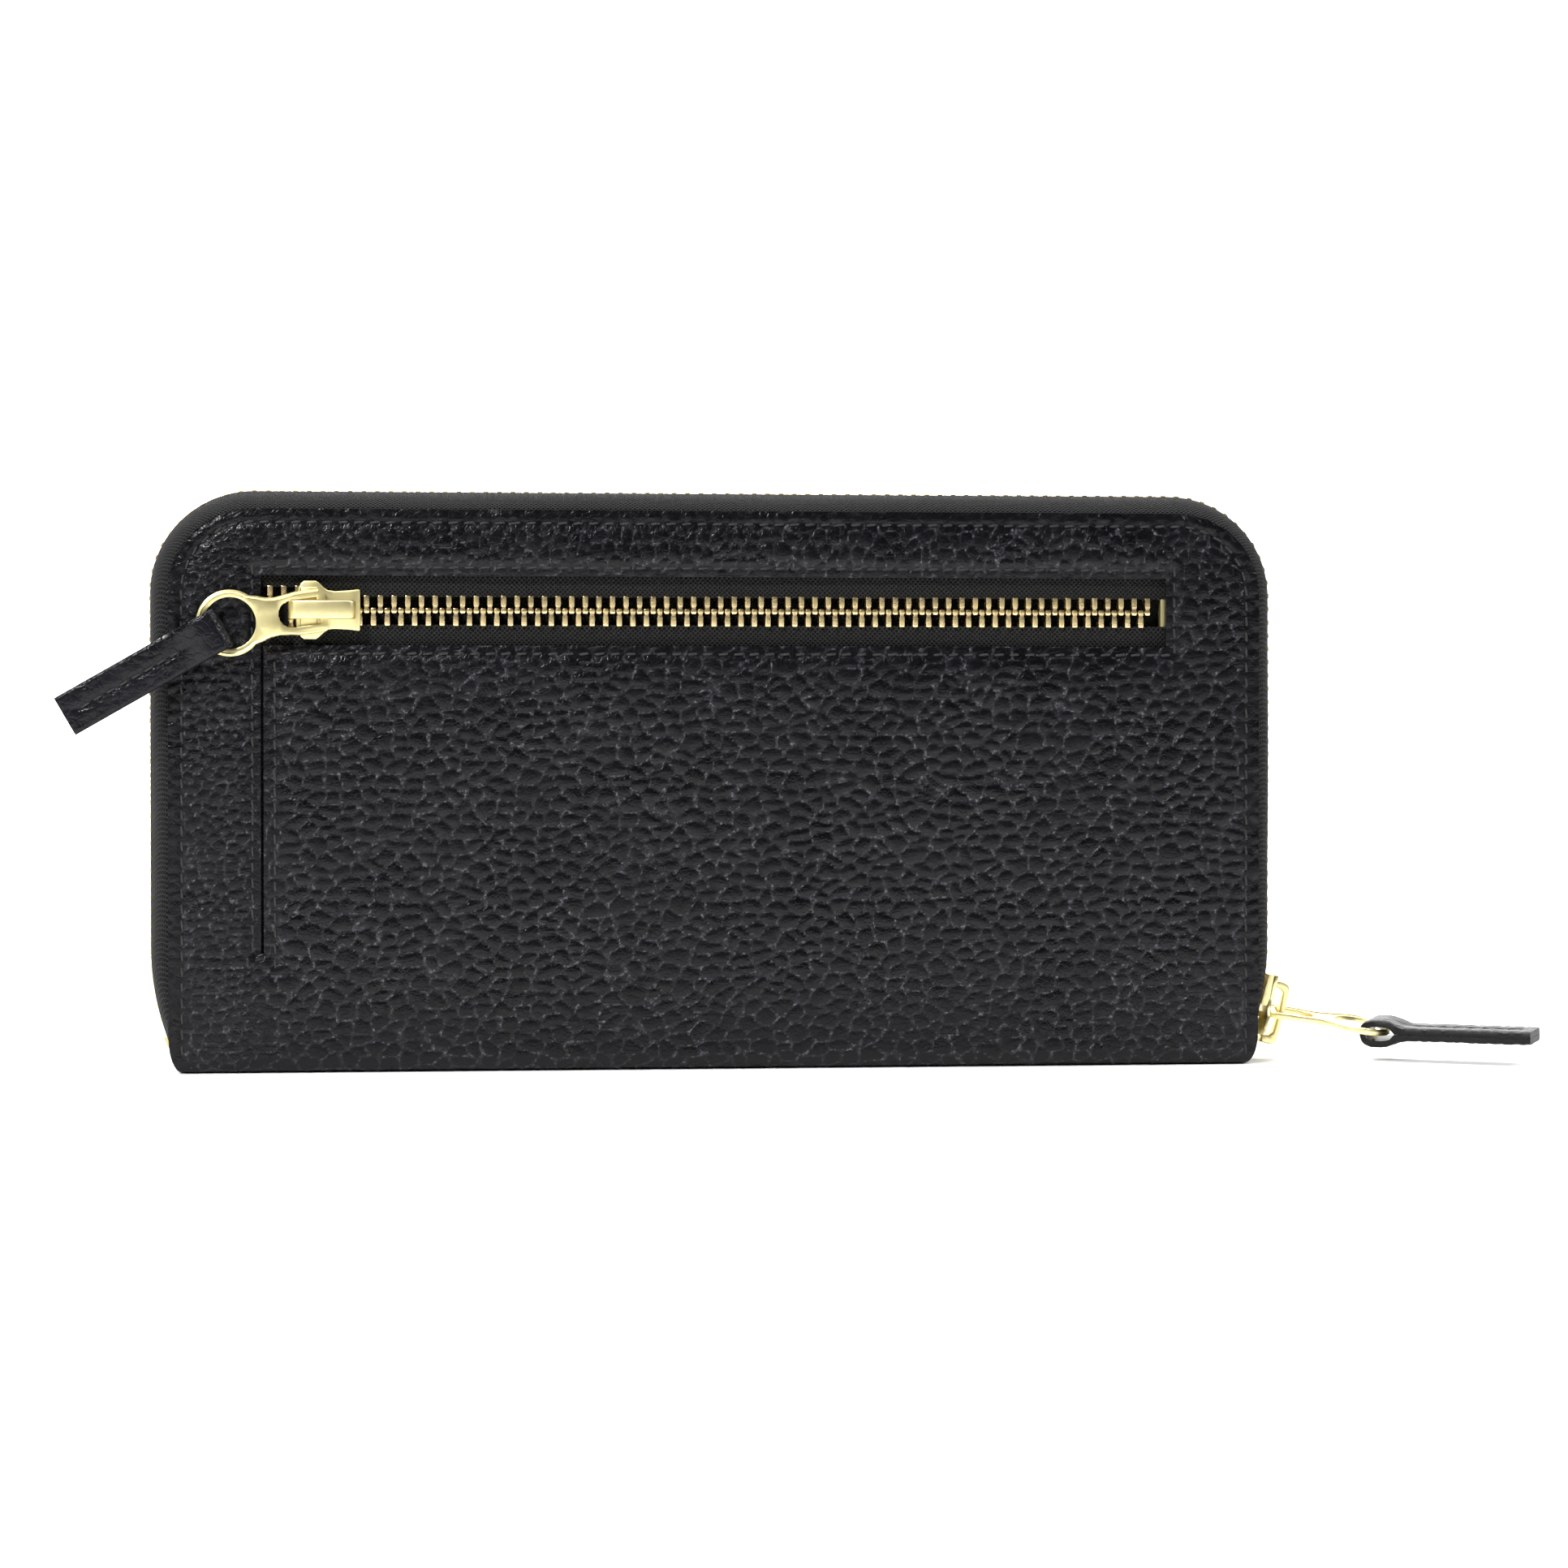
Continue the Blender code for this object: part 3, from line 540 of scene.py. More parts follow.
def distance_field(lines):
    """A search tree through points closely spaced on the lines."""
    points = [place for line in lines for place in walk(line, 0.35 * MM)]
    tree = kdtree.KDTree(len(points))
    for i, (x, z, _) in enumerate(points):
        tree.insert((x, z, 0), i)
    tree.balance()
    return tree


def relief(x, z, side, stitches):
    """How far the leather's face stands off its flat place, outwards, and its grain from 0 to 1."""
    rim = edge_distance(x, z)
    seam = stitches.find((x, z, 0))[2]
    sink = EDGE_SINK * math.exp(-(max(rim, 0) / (1.1 * MM)) ** 2)
    groove = 0.22 * MM * math.exp(-(seam / (0.75 * MM)) ** 2)
    puff = 0.55 * MM * (1 - math.exp(-max(rim - STITCH_INSET, 0) / (7 * MM))) * (rim > STITCH_INSET)
    swell = 0.25 * MM * noise.noise(Vector((x * 22, z * 30, side * 3.7)))
    pebble, depth = grain_depth(x, z, side)
    grain = pebble * depth * (0.35 + 0.65 * min(1, seam / (1.6 * MM)))
    if rim < STITCH_INSET:
        pebble = 1.0
    if side == FRONT:
        window = max(WINDOW_LEFT - x, x - WINDOW_RIGHT, WINDOW_LOW - z, z - WINDOW_HIGH)
        slit = max(abs(x - WINDOW_LEFT) - SLIT_WIDTH, SLIT_FOOT - z, z - WINDOW_HIGH)
        near = max(min(window, slit), 0)
        sink += 0.3 * MM * math.exp(-(near / (0.9 * MM)) ** 2)
        puff *= min(1, near / (6 * MM)) * 0.5 + 0.5
        grain *= 0.4 + 0.6 * min(1, near / (1.5 * MM))
    return puff + swell * min(1, max(rim, 0) / (8 * MM)) + grain - sink - groove, pebble


def profile(v):
    """The wrap's section: v along it from the middle of the spine. Gives (y, z, normal y, normal z)."""
    flat = HALF_THICKNESS - FOLD_R
    bend = FOLD_R * math.pi / 2
    if v < flat:
        return v, 0.0, 0.0, -1.0
    if v < flat + bend:
        t = (v - flat) / FOLD_R
        return flat + FOLD_R * math.sin(t), FOLD_R * (1 - math.cos(t)), math.sin(t), -math.cos(t)
    return HALF_THICKNESS, FOLD_R + v - flat - bend, 1.0, 0.0


def make_wrap(side):
    """One cover's leather with its half of the spine, cut, grained and pressed along its edges."""
    stitches = distance_field(stitch_lines(side))
    lift = HALF_THICKNESS - FOLD_R + FOLD_R * math.pi / 2 - FOLD_R
    heights = [SLIT_FOOT, WINDOW_LOW, WINDOW_HIGH, TOP] if side == FRONT else [TOP]
    fold_foot = HALF_THICKNESS - FOLD_R
    marks = [0, fold_foot, fold_foot + FOLD_R * math.pi / 2] + [z + lift for z in heights]
    rows = spaced(marks, GRAIN_STEP)
    cuts = [-HALF_LENGTH, -CORNER_X]
    if side == FRONT:
        cuts += [WINDOW_LEFT, WINDOW_LEFT + SLIT_WIDTH, WINDOW_RIGHT]
    columns = spaced(cuts + [CORNER_X, HALF_LENGTH], GRAIN_STEP)
    bm = bmesh.new()
    # the grain layer also masks the painted highlight on the pebbles' shoulders
    wear_and_sheen = bm.verts.layers.float.new("grain")
    grid, normals = [], {}
    for v in rows:
        y, z, ny, nz = profile(v)
        half = outline_half(z)
        line = []
        for column in columns:
            over = max(abs(column) - CORNER_X, 0)
            x = math.copysign(min(abs(column), CORNER_X) + over * (half - CORNER_X) / CORNER_R, column)
            normal = Vector((0, side * ny, nz))
            shown = ease(z, 0.4 * MM, 3 * MM)
            out, pebble = relief(x, z, side, stitches)
            vert = bm.verts.new(Vector((x, side * y, z)) + normal * out * shown)
            vert[wear_and_sheen] = pebble
            normals[vert] = normal
            line.append(vert)
        grid.append(line)
    for i, v in enumerate(rows[:-1]):
        z = (profile(v)[1] + profile(rows[i + 1])[1]) / 2
        for j, column in enumerate(columns[:-1]):
            x = (column + columns[j + 1]) / 2
            in_window = WINDOW_LEFT < x < WINDOW_RIGHT and WINDOW_LOW < z < WINDOW_HIGH
            in_slit = WINDOW_LEFT < x < WINDOW_LEFT + SLIT_WIDTH and SLIT_FOOT < z < WINDOW_HIGH
            if side == FRONT and (in_window or in_slit):
                continue
            corners = [grid[i][j], grid[i][j + 1], grid[i + 1][j + 1], grid[i + 1][j]]
            bm.faces.new(corners if side == FRONT else corners[::-1])
    thicken_edges(bm, normals)
    name = "leather_front" if side == FRONT else "leather_back"
    nodes = ["front_cover_leather"] if side == FRONT else ["back_cover_leather", "spine_leather"]
    piece = make_piece(name, bm, [PEBBLED, EDGE], None, nodes, 60)
    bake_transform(piece)
    return piece


def thicken_edges(bm, normals):
    """Turns the sheet's free edges inwards by the leather's thickness, with a rounded lip."""
    loose = [v for v in bm.verts if not v.link_faces]
    for vert in loose:
        bm.verts.remove(vert)
    rim = [e for e in bm.edges if e.is_boundary]
    rim = [e for e in rim if abs(e.verts[0].co.y) + abs(e.verts[1].co.y) > 1e-5]
    for depth in (0.25, 0.75):
        grown = bmesh.ops.extrude_edge_only(bm, edges=rim)["geom"]
        fresh = [g for g in grown if isinstance(g, bmesh.types.BMVert)]
        rim = [g for g in grown if isinstance(g, bmesh.types.BMEdge) and g.is_boundary]
        for vert in fresh:
            source = min(
                (e.other_vert(vert) for e in vert.link_edges if e.other_vert(vert) in normals),
                key=lambda v: (v.co - vert.co).length,
            )
            normals[vert] = normals[source]
            vert.co -= normals[source] * LEATHER * depth
        wall = {f for e in rim for f in e.link_faces}
        for face in wall:
            face.material_index = 1
    bmesh.ops.recalc_face_normals(bm, faces=bm.faces)


def stitch(bm, centre, along, out, length):
    """One stitch: a rounded thread that dips into the leather at both ends."""
    across = out.cross(along)
    stations = [(-0.5, -1.5, 0.6), (-0.36, -0.1, 0.95), (0, 0.45, 1.0), (0.36, -0.1, 0.95), (0.5, -1.5, 0.6)]
    rings = []
    for place_along, rise, width in stations:
        middle = centre + along * length * place_along + out * THREAD_R * rise
        rings.append([
            bm.verts.new(middle + (across * math.cos(t) + out * math.sin(t)) * THREAD_R * width)
            for t in (2 * math.pi * k / 6 for k in range(6))
        ])
    for first, second in zip(rings, rings[1:]):
        for k in range(6):
            bm.faces.new((first[k], first[(k + 1) % 6], second[(k + 1) % 6], second[k]))
    bm.faces.new(rings[0][::-1])
    bm.faces.new(rings[-1])


def make_stitching(side):
    bm = bmesh.new()
    out = Vector((0, side, 0))
    tree = distance_field(stitch_lines(side))
    for line in stitch_lines(side):
        for x, z, angle in walk(line, STITCH_PITCH):
            lean = angle + math.radians(6)
            along = Vector((math.cos(lean), 0, math.sin(lean)))
            skin = HALF_THICKNESS + relief(x, z, side, tree)[0] * ease(z, 0.4 * MM, 3 * MM)
            stitch(bm, Vector((x, side * skin, z)), along, out, STITCH_LENGTH)
    bmesh.ops.recalc_face_normals(bm, faces=bm.faces)
    word, cover = ("front", "front_cover") if side == FRONT else ("back", "back_cover")
    make_piece(f"stitching_{word}", bm, [THREAD], cover)


# ---------------------------------------------------------------- zips

def rim_point(s, n, y):
    """A point s along the rim from the right foot, n outside the leather's edge, at y."""
    if s > RIM_LENGTH / 2:
        mirrored = rim_point(RIM_LENGTH - s, n, y)
        return Vector((-mirrored.x, y, mirrored.z))
    if s <= RIM_SIDE:
        z = TAPE_FOOT + s
        free = min(max((n + TAPE_TURN) / (CHAIN_OUT + TAPE_TURN), 0), 1)
        tuck = TUCK * (max(TUCK_HEIGHT - z, 0) / TUCK_HEIGHT) ** 2
        return Vector((CORNER_X + CORNER_R + n - free * tuck, y, z))
    angle = (s - RIM_SIDE) / RIM_CHAIN_R
    if angle < math.pi / 2:
        radius = CORNER_R + n
        return Vector((CORNER_X + radius * math.cos(angle), y, CORNER_Z + radius * math.sin(angle)))
    return Vector((CORNER_X - (s - RIM_SIDE - RIM_ARC), y, TOP + n))


def pocket_point(s, n, b):
    return Vector((WINDOW_LEFT + s, POCKET_CHAIN_Y - n, POCKET_CHAIN_Z + b))


def spread_after(nose):
    return lambda s: SPREAD * (1 - ease(s, nose + 0.25 * SLIDER_LENGTH, nose + 0.5 * SLIDER_LENGTH))


rim_spread = spread_after(MAIN_SLIDER_Z - SLIDER_LENGTH / 2 - TAPE_FOOT)
pocket_spread = spread_after(POCKET_SLIDER_NOSE - WINDOW_LEFT)


def tooth_shape():
    """One tooth, in (along, across, out): legs clamped on the cord, a waist, and a round head."""
    half = [
        (0.42, 2.72), (0.50, 2.55), (0.50, 1.15), (0.44, 0.85),
        (0.36, 0.62), (0.44, 0.34), (0.53, 0.10), (0.50, -0.22), (0.34, -0.48),
    ]
    outline = [(a * MM, b * MM) for a, b in half] + [(-a * MM, b * MM) for a, b in reversed(half)]
    bm = prism(outline, -1.1 * MM, 1.1 * MM, bevel=0.16 * MM, segments=2)
    return bm


def make_teeth(name, node, body, side, start, end, centre, to_point, spread):
    """A row of teeth set along the chain at one pitch, half a pitch off the other row."""
    tooth = tooth_shape()
    tooth.verts.index_update()
    corners = [v.co.copy() for v in tooth.verts]
    faces = [[v.index for v in f.verts] for f in tooth.faces]
    tooth.free()
    shift = 0.475 * MM if side > 0 else PITCH / 2 + 0.475 * MM
    count = int((end - start - (0 if side > 0 else PITCH / 2)) / PITCH)
    bm = bmesh.new()
    for number in range(count):
        s = start + shift + PITCH * number
        ring = []
        for a, b, c in corners:
            ring.append(bm.verts.new(to_point(s + a, centre + c, side * (b + spread(s)))))
        for face in faces:
            bm.faces.new([ring[i] for i in face])
    bmesh.ops.recalc_face_normals(bm, faces=bm.faces)
    return make_piece(name, bm, [TEETH], body, [node], 30)


def skin(rings, thickness_ends=True):
    """Quads over equal closed rings, with both ends filled."""
    bm = bmesh.new()
    grid = [[bm.verts.new(p) for p in ring] for ring in rings]
    size = len(grid[0])
    for first, second in zip(grid, grid[1:]):
        for i in range(size):
            j = (i + 1) % size
            bm.faces.new((first[i], first[j], second[j], second[i]))
    half = size // 2
    for ring in (grid[0], grid[-1]):
        for i in range(half - 1):
            bm.faces.new((ring[i], ring[i + 1], ring[size - 2 - i], ring[size - 1 - i]))
    bmesh.ops.recalc_face_normals(bm, faces=bm.faces)
    return bm


def make_rim_tape(name, node, body, side):
    """The main zip's tape: from its seam it arches out to a corded edge beside the teeth."""
    feet = spaced([0, RIM_SIDE], 1.2 * MM)
    corner = spaced([RIM_SIDE, RIM_SIDE + RIM_ARC], 1.2 * MM)[1:]
    top = spaced([RIM_SIDE + RIM_ARC, RIM_LENGTH / 2], 1.2 * MM)[1:]
    half = feet + corner + top
    stations = half + [RIM_LENGTH - s for s in reversed(half[:-1])]
    rings = []
    for s in stations:
        end = TAPE_START + rim_spread(s)
        belly = 0.5 * MM * noise.noise(Vector((s * 30, side * 5, 0)))
        rest = math.sin(math.pi * min(s, RIM_LENGTH - s) / 60 / MM) if min(s, RIM_LENGTH - s) < 30 * MM else 1
        centre = [(-TAPE_SEAM, TAPE_Y, 0.0, 1.0)]
        for step in range(15):
            t = math.radians(90 * step / 14)
            n = -TAPE_TURN + (CHAIN_OUT + TAPE_TURN) * math.sin(t) + belly * math.sin(2 * t) * rest
            y = end + (TAPE_Y - end) * math.cos(t)
            cord = 1.0 + 0.9 * ease(step, 12, 14)
            centre.append((n, y, t, cord))
        outer = [(n + TAPE / 2 * k * math.sin(t), y + TAPE / 2 * math.cos(t)) for n, y, t, k in centre]
        inner = [(n - TAPE / 2 * k * math.sin(t), y - TAPE / 2 * math.cos(t)) for n, y, t, k in centre]
        rings.append([rim_point(s, n, side * y) for n, y in outer + inner[::-1]])
    return make_piece(name, skin(rings), [TAPE_CLOTH], body, [node], 60)


def make_pocket_tape(name, node, side):
    """A flat tape with a woven ridge and a corded edge that follows its row of teeth."""
    length = WINDOW_RIGHT - WINDOW_LEFT
    rings = []
    for s in spaced([-2.4 * MM, length + 2.4 * MM], 1.0 * MM):
        low = TAPE_START + pocket_spread(s)
        places = [low + (POCKET_TAPE_HALF - low) * k / 8 for k in range(9)]
        waves = [0.12 * MM * noise.noise(Vector((s * 60, b * 200, side))) for b in places]
        thick = [TAPE / 2 * (1.7 if k == 0 else 1.0) for k in range(9)]
        outer = [(w + t, b) for w, t, b in zip(waves, thick, places)]
        inner = [(w - t, b) for w, t, b in zip(waves, thick, places)]
        rings.append([pocket_point(s, n, side * b) for n, b in outer + inner[::-1]])
    return make_piece(name, skin(rings), [TAPE_CLOTH], "front_cover", [node], 60)


def make_zips():
    start, end = TOOTH_FOOT, RIM_LENGTH - TOOTH_FOOT
    for side, word in ((BACK, "back"), (FRONT, "front")):
        body = f"{word}_cover"
        make_rim_tape(f"zip_tape_{word}", f"main_tape_{word}", body, side)
        make_teeth(
            f"zip_teeth_{word}", f"main_teeth_{word}", body, side,
            start, end, CHAIN_OUT - TOOTH_SINK, rim_point, rim_spread,
        )
    end = WINDOW_RIGHT - WINDOW_LEFT - 1.0 * MM
    for side, word in ((1, "upper"), (-1, "lower")):
        make_pocket_tape(f"pocket_zip_tape_{word}", f"pocket_tape_{word}", side)
        make_teeth(
            f"pocket_zip_teeth_{word}", f"pocket_teeth_{word}", "front_cover", side,
            1.2 * MM, end, 0, pocket_point, pocket_spread,
        )


# ---------------------------------------------------------------- sliders, pulls and tabs

def slider_parts():
    """A slider's two waisted plates, its diamond and its four lips."""
    half = [
        (0.0, 2.4), (0.35, 3.6), (0.9, 4.8), (1.5, 5.25), (3.6, 5.25), (4.2, 4.9),
        (5.0, 4.1), (5.8, 3.55), (7.0, 3.4), (9.5, 3.55), (11.2, 3.75), (11.5, 3.6),
    ]
    plan = [(a * MM, b * MM) for a, b in half] + [(a * MM, -b * MM) for a, b in reversed(half)]
    parts = [
        prism(plan, 1.7 * MM, 2.6 * MM, bevel=0.3 * MM, segments=3),
        prism(plan, -2.4 * MM, -1.7 * MM, bevel=0.25 * MM, segments=2),
    ]
    diamond = [(0.7, 0), (1.9, 0.9), (2.7, 0.9), (4.4, 0), (2.7, -0.9), (1.9, -0.9)]
    parts.append(prism([(a * MM, b * MM) for a, b in diamond], -2.0 * MM, 2.0 * MM))
    for b in (-3.4, 2.8):
        wall = [(5.6 * MM, b * MM), (11.4 * MM, b * MM), (11.4 * MM, (b + 0.6) * MM), (5.6 * MM, (b + 0.6) * MM)]
        parts.append(prism(wall, 0.55 * MM, 2.0 * MM, bevel=0.12 * MM))
        parts.append(prism(wall, -2.0 * MM, -0.75 * MM, bevel=0.12 * MM))
    ridge = [(0.9 * MM, -4.1 * MM), (3.9 * MM, -4.1 * MM), (3.9 * MM, 4.1 * MM), (0.9 * MM, 4.1 * MM)]
    parts.append(prism(ridge, 2.4 * MM, 2.85 * MM, bevel=0.2 * MM))
    return merge(parts)


def crown_shape():
    """The bridge: a rounded bar on two feet, open at its front for the pull."""
    outer = [(-1.2, 2.75), (-1.25, 4.3)]
    outer += [(-1.25 + 1.5 * (1 - math.cos(t)), 4.3 + 1.4 * math.sin(t)) for t in (0.4, 0.8, 1.2, 1.5)]
    outer += [(5.0, 5.85)]
    outer += [(9.2 + 1.5 * math.sin(t), 4.2 + 1.5 * math.cos(t)) for t in (0.1, 0.5, 0.9, 1.3, 1.55)]
    outer += [(10.7, 2.75), (9.4, 2.75), (9.3, 3.9), (8.7, 4.6), (5.0, 4.75), (1.2, 4.6), (0.4, 4.0), (0.3, 2.75)]
    outline = [(a * MM, c * MM) for a, c in outer]
    return swap_depth(prism(outline, -1.65 * MM, 1.65 * MM, bevel=0.35 * MM, segments=3))


def pull_parts():
    """The stamped pull: a bar under the crown, two arms, a waisted neck and a round eye."""
    half = [(-0.75, 3.2), (-0.3, 3.75), (0.3, 3.95), (4.6, 3.9), (6.4, 3.6), (8.2, 3.42), (9.8, 3.6), (11.2, 4.1)]
    side = [(u * MM, v * MM) for u, v in half]
    eye = arc((EYE_CENTRE, 0), EYE_OUTER, 132, -132, 44)
    outline = side + eye + [(u, -v) for u, v in reversed(side)]
    hole = [(0.75, -2.4), (0.75, 2.4), (5.6, 2.4)]
    hole += [(5.6 + 2.3 * math.sin(t), 2.4 * math.cos(t)) for t in (0.4, 0.8, 1.2, 1.57, 1.95, 2.35, 2.75)]
    hole += [(5.6, -2.4)]
    hole = [(u * MM, v * MM) for u, v in hole]
    ring = arc((EYE_CENTRE, 0), EYE_INNER, 0, 360, 40)[:-1]
    plate = prism(outline, -0.5 * MM, 0.42 * MM, [hole, ring], bevel=0.16 * MM)
    parts = [plate]
    for sign in (1, -1):
        trace = [(u, v - 0.35 * MM) for u, v in side[2:]] + arc((EYE_CENTRE, 0), EYE_OUTER - 0.4 * MM, 130, 20, 16)
        trace = [(u, sign * v) for u, v in trace]
        parts.append(tube([Vector((u, v, 0.4 * MM)) for u, v in trace], 0.26 * MM, 8))
    return merge(parts)


def tube(path, radius, sides):
    """A round bead along a path, closed at both ends."""
    bm = bmesh.new()
    rings = []
    for i, point in enumerate(path):
        ahead = (path[min(i + 1, len(path) - 1)] - path[max(i - 1, 0)]).normalized()
        side = ahead.cross(Vector((0, 0, 1))).normalized()
        up = side.cross(ahead)
        rings.append([
            bm.verts.new(point + (side * math.cos(t) + up * math.sin(t)) * radius)
            for t in (2 * math.pi * k / sides for k in range(sides))
        ])
    for first, second in zip(rings, rings[1:]):
        for k in range(sides):
            bm.faces.new((first[k], first[(k + 1) % sides], second[(k + 1) % sides], second[k]))
    bm.faces.new(rings[0][::-1])
    bm.faces.new(rings[-1])
    bmesh.ops.recalc_face_normals(bm, faces=bm.faces)
    return bm


def tab_parts(seed):
    """A strap folded through the eye: two plies pressed together, with grain and a waxed edge."""
    out = TAB_SLOT + TAB_PLY
    bend = -TAB_SLOT_IN + TAB_SLOT
    rings = []
    stations = [(TAB_LENGTH, TAB_PLY * 0.92)]
    stations += [(u, TAB_PLY * 0.98) for u in spaced([TAB_LENGTH - 0.7 * MM, 6 * MM], -0.6 * MM)]
    stations += [(5 * MM - 5 * MM * k / 6, TAB_PLY + (out - TAB_PLY) * ease(k, 0, 6)) for k in range(7)]
    outer = [(u, w) for u, w in stations]
    outer += [(bend + out * math.cos(t), out * math.sin(t)) for t in (math.radians(a) for a in range(95, 270, 12))]
    outer += [(u, -w) for u, w in reversed(stations)]
    inner = []
    for u, w in outer:
        if u > 2.2 * MM:
            inner.append((u, math.copysign(0.02 * MM, w)))
        else:
            reach = math.hypot(u - bend, w)
            scale = max(reach - TAB_PLY, 0.02 * MM) / max(reach, 1e-6)
            inner.append((bend + (u - bend) * scale, w * scale) if u < bend else (u, math.copysign(max(abs(w) - TAB_PLY, 0.02 * MM), w)))
    half = TAB_WIDTH / 2
    grain = Grain(seed, 2.2 * MM, 1.8 * MM, TAB_LENGTH + 8 * MM, -half, half)
    lanes = spaced([-half, half], 0.45 * MM)
    bm = bmesh.new()
    length, run = 0.0, []
    for i, (u, w) in enumerate(outer):
        if i:
            length += math.hypot(u - outer[i - 1][0], w - outer[i - 1][1])
        run.append(length)
    skin_grid, back_grid = [], []
    for i, (u, w) in enumerate(outer):
        before, after = outer[max(i - 1, 0)], outer[min(i + 1, len(outer) - 1)]
        tangent = Vector((after[0] - before[0], after[1] - before[1])).normalized()
        normal = Vector((-tangent.y, tangent.x)) * -1
        line = []
        for v in lanes:
            seam = 0.28 * MM * math.exp(-(v / (0.55 * MM)) ** 2) * (3 * MM < u < TAB_LENGTH - 2 * MM)
            edge = 0.3 * MM * ease(abs(v), half - 0.7 * MM, half) ** 2
            out_by = 0.13 * MM * grain.height(run[i] - TAB_LENGTH, v) - seam - edge
            line.append(bm.verts.new((u + normal.x * out_by, v, w + normal.y * out_by)))
        skin_grid.append(line)
        back_grid.append([bm.verts.new((inner[i][0], v, inner[i][1])) for v in (lanes[0], lanes[-1])])
    for i in range(len(outer) - 1):
        for j in range(len(lanes) - 1):
            bm.faces.new((skin_grid[i][j], skin_grid[i][j + 1], skin_grid[i + 1][j + 1], skin_grid[i + 1][j]))
        for j, k in ((0, 0), (len(lanes) - 1, 1)):
            face = bm.faces.new((skin_grid[i][j], skin_grid[i + 1][j], back_grid[i + 1][k], back_grid[i][k]))
            face.material_index = 1
        bm.faces.new((back_grid[i][0], back_grid[i][1], back_grid[i + 1][1], back_grid[i + 1][0]))
    for i in (0, -1):
        face = bm.faces.new([*skin_grid[i], back_grid[i][1], back_grid[i][0]])
        face.material_index = 1
    bmesh.ops.recalc_face_normals(bm, faces=bm.faces)
    return bm


def tab_stitches():
    bm = bmesh.new()
    for sign in (1, -1):
        for u in spaced([4.5 * MM, TAB_LENGTH - 3 * MM], STITCH_PITCH * 0.9)[:-1]:
            centre = Vector((u + STITCH_PITCH / 2, 0, sign * (TAB_PLY - 0.12 * MM)))
            stitch(bm, centre, Vector((1, 0, 0)), Vector((0, 0, sign)), STITCH_LENGTH * 0.95)
    bmesh.ops.recalc_face_normals(bm, faces=bm.faces)
    return bm


def make_slider_set(word, slider_axis, pull_along, pull_out, tab_turn, tab_along):
    """A slider with its crown, its pull and its leather tab, each on its own body."""
    body = f"{word}_slider"
    make_piece(
        f"{word}_zip_slider", place(slider_parts(), slider_axis), [BRASS], body,
        [f"{word}_slider_body"], 35,
    )
    make_piece(
        f"{word}_zip_crown", place(crown_shape(), slider_axis), [BRASS], body,
        [f"{word}_slider_crown"], 35,
    )
    pivot = Vector((PULL_PIVOT_A, 0, PULL_PIVOT_C))
    pull_axis = slider_axis @ axis_matrix(pivot, pull_along, pull_out)
    make_piece(
        f"{word}_metal_pull", place(pull_parts(), pull_axis), [BRASS], f"{word}_pull",
        [f"{word}_pull_tab"], 35,
    )
    bar = Vector((EYE_CENTRE + EYE_BAR * math.cos(tab_turn), EYE_BAR * math.sin(tab_turn), 0))
    tab_axis = pull_axis @ axis_matrix(bar, tab_along, (0, 0, 1))
    seed = 31 if word == "main" else 32
    make_piece(
        f"{word}_tab_leather", place(tab_parts(seed), tab_axis), [TAB_LEATHER, EDGE], f"{word}_tab",
        [f"{word}_leather_tab"], 60,
    )
    make_piece(
        f"{word}_tab_stitching", place(tab_stitches(), tab_axis), [THREAD], f"{word}_tab",
    )


def make_sliders():
    tilt, roll = MAIN_SLIDER_TILT, math.radians(10)
    yaw, up, turn, rise = (math.radians(a) for a in (4, 6, -25, 12))
    middle = rim_point(MAIN_SLIDER_Z - TAPE_FOOT, CHAIN_OUT, 0)
    along = Vector((math.sin(tilt), 0, math.cos(tilt)))
    out = Vector((math.cos(tilt), 0, -math.sin(tilt)))
    make_slider_set(
        "main", axis_matrix(middle - along * SLIDER_LENGTH / 2, along, out),
        (math.sin(up), math.sin(yaw), math.cos(yaw)),
        (math.cos(roll), math.sin(roll), 0),
        turn,
        (math.cos(turn) * math.cos(rise), math.sin(turn) * math.cos(rise), math.sin(rise)),
    )
    lift, droop, turn = (math.radians(a) for a in (5, 8.5, 21.5))
    nose = Vector((POCKET_SLIDER_NOSE, POCKET_CHAIN_Y, POCKET_CHAIN_Z))
    make_slider_set(
        "pocket", axis_matrix(nose, (1, 0, 0), (0, -1, 0)),
        (-math.cos(lift) * math.cos(droop), -math.cos(lift) * math.sin(droop), math.sin(lift)),
        (0, 0, 1),
        turn,
        (math.cos(turn) * math.cos(lift), math.sin(turn) * math.cos(lift), -math.sin(lift)),
    )


# ---------------------------------------------------------------- inside

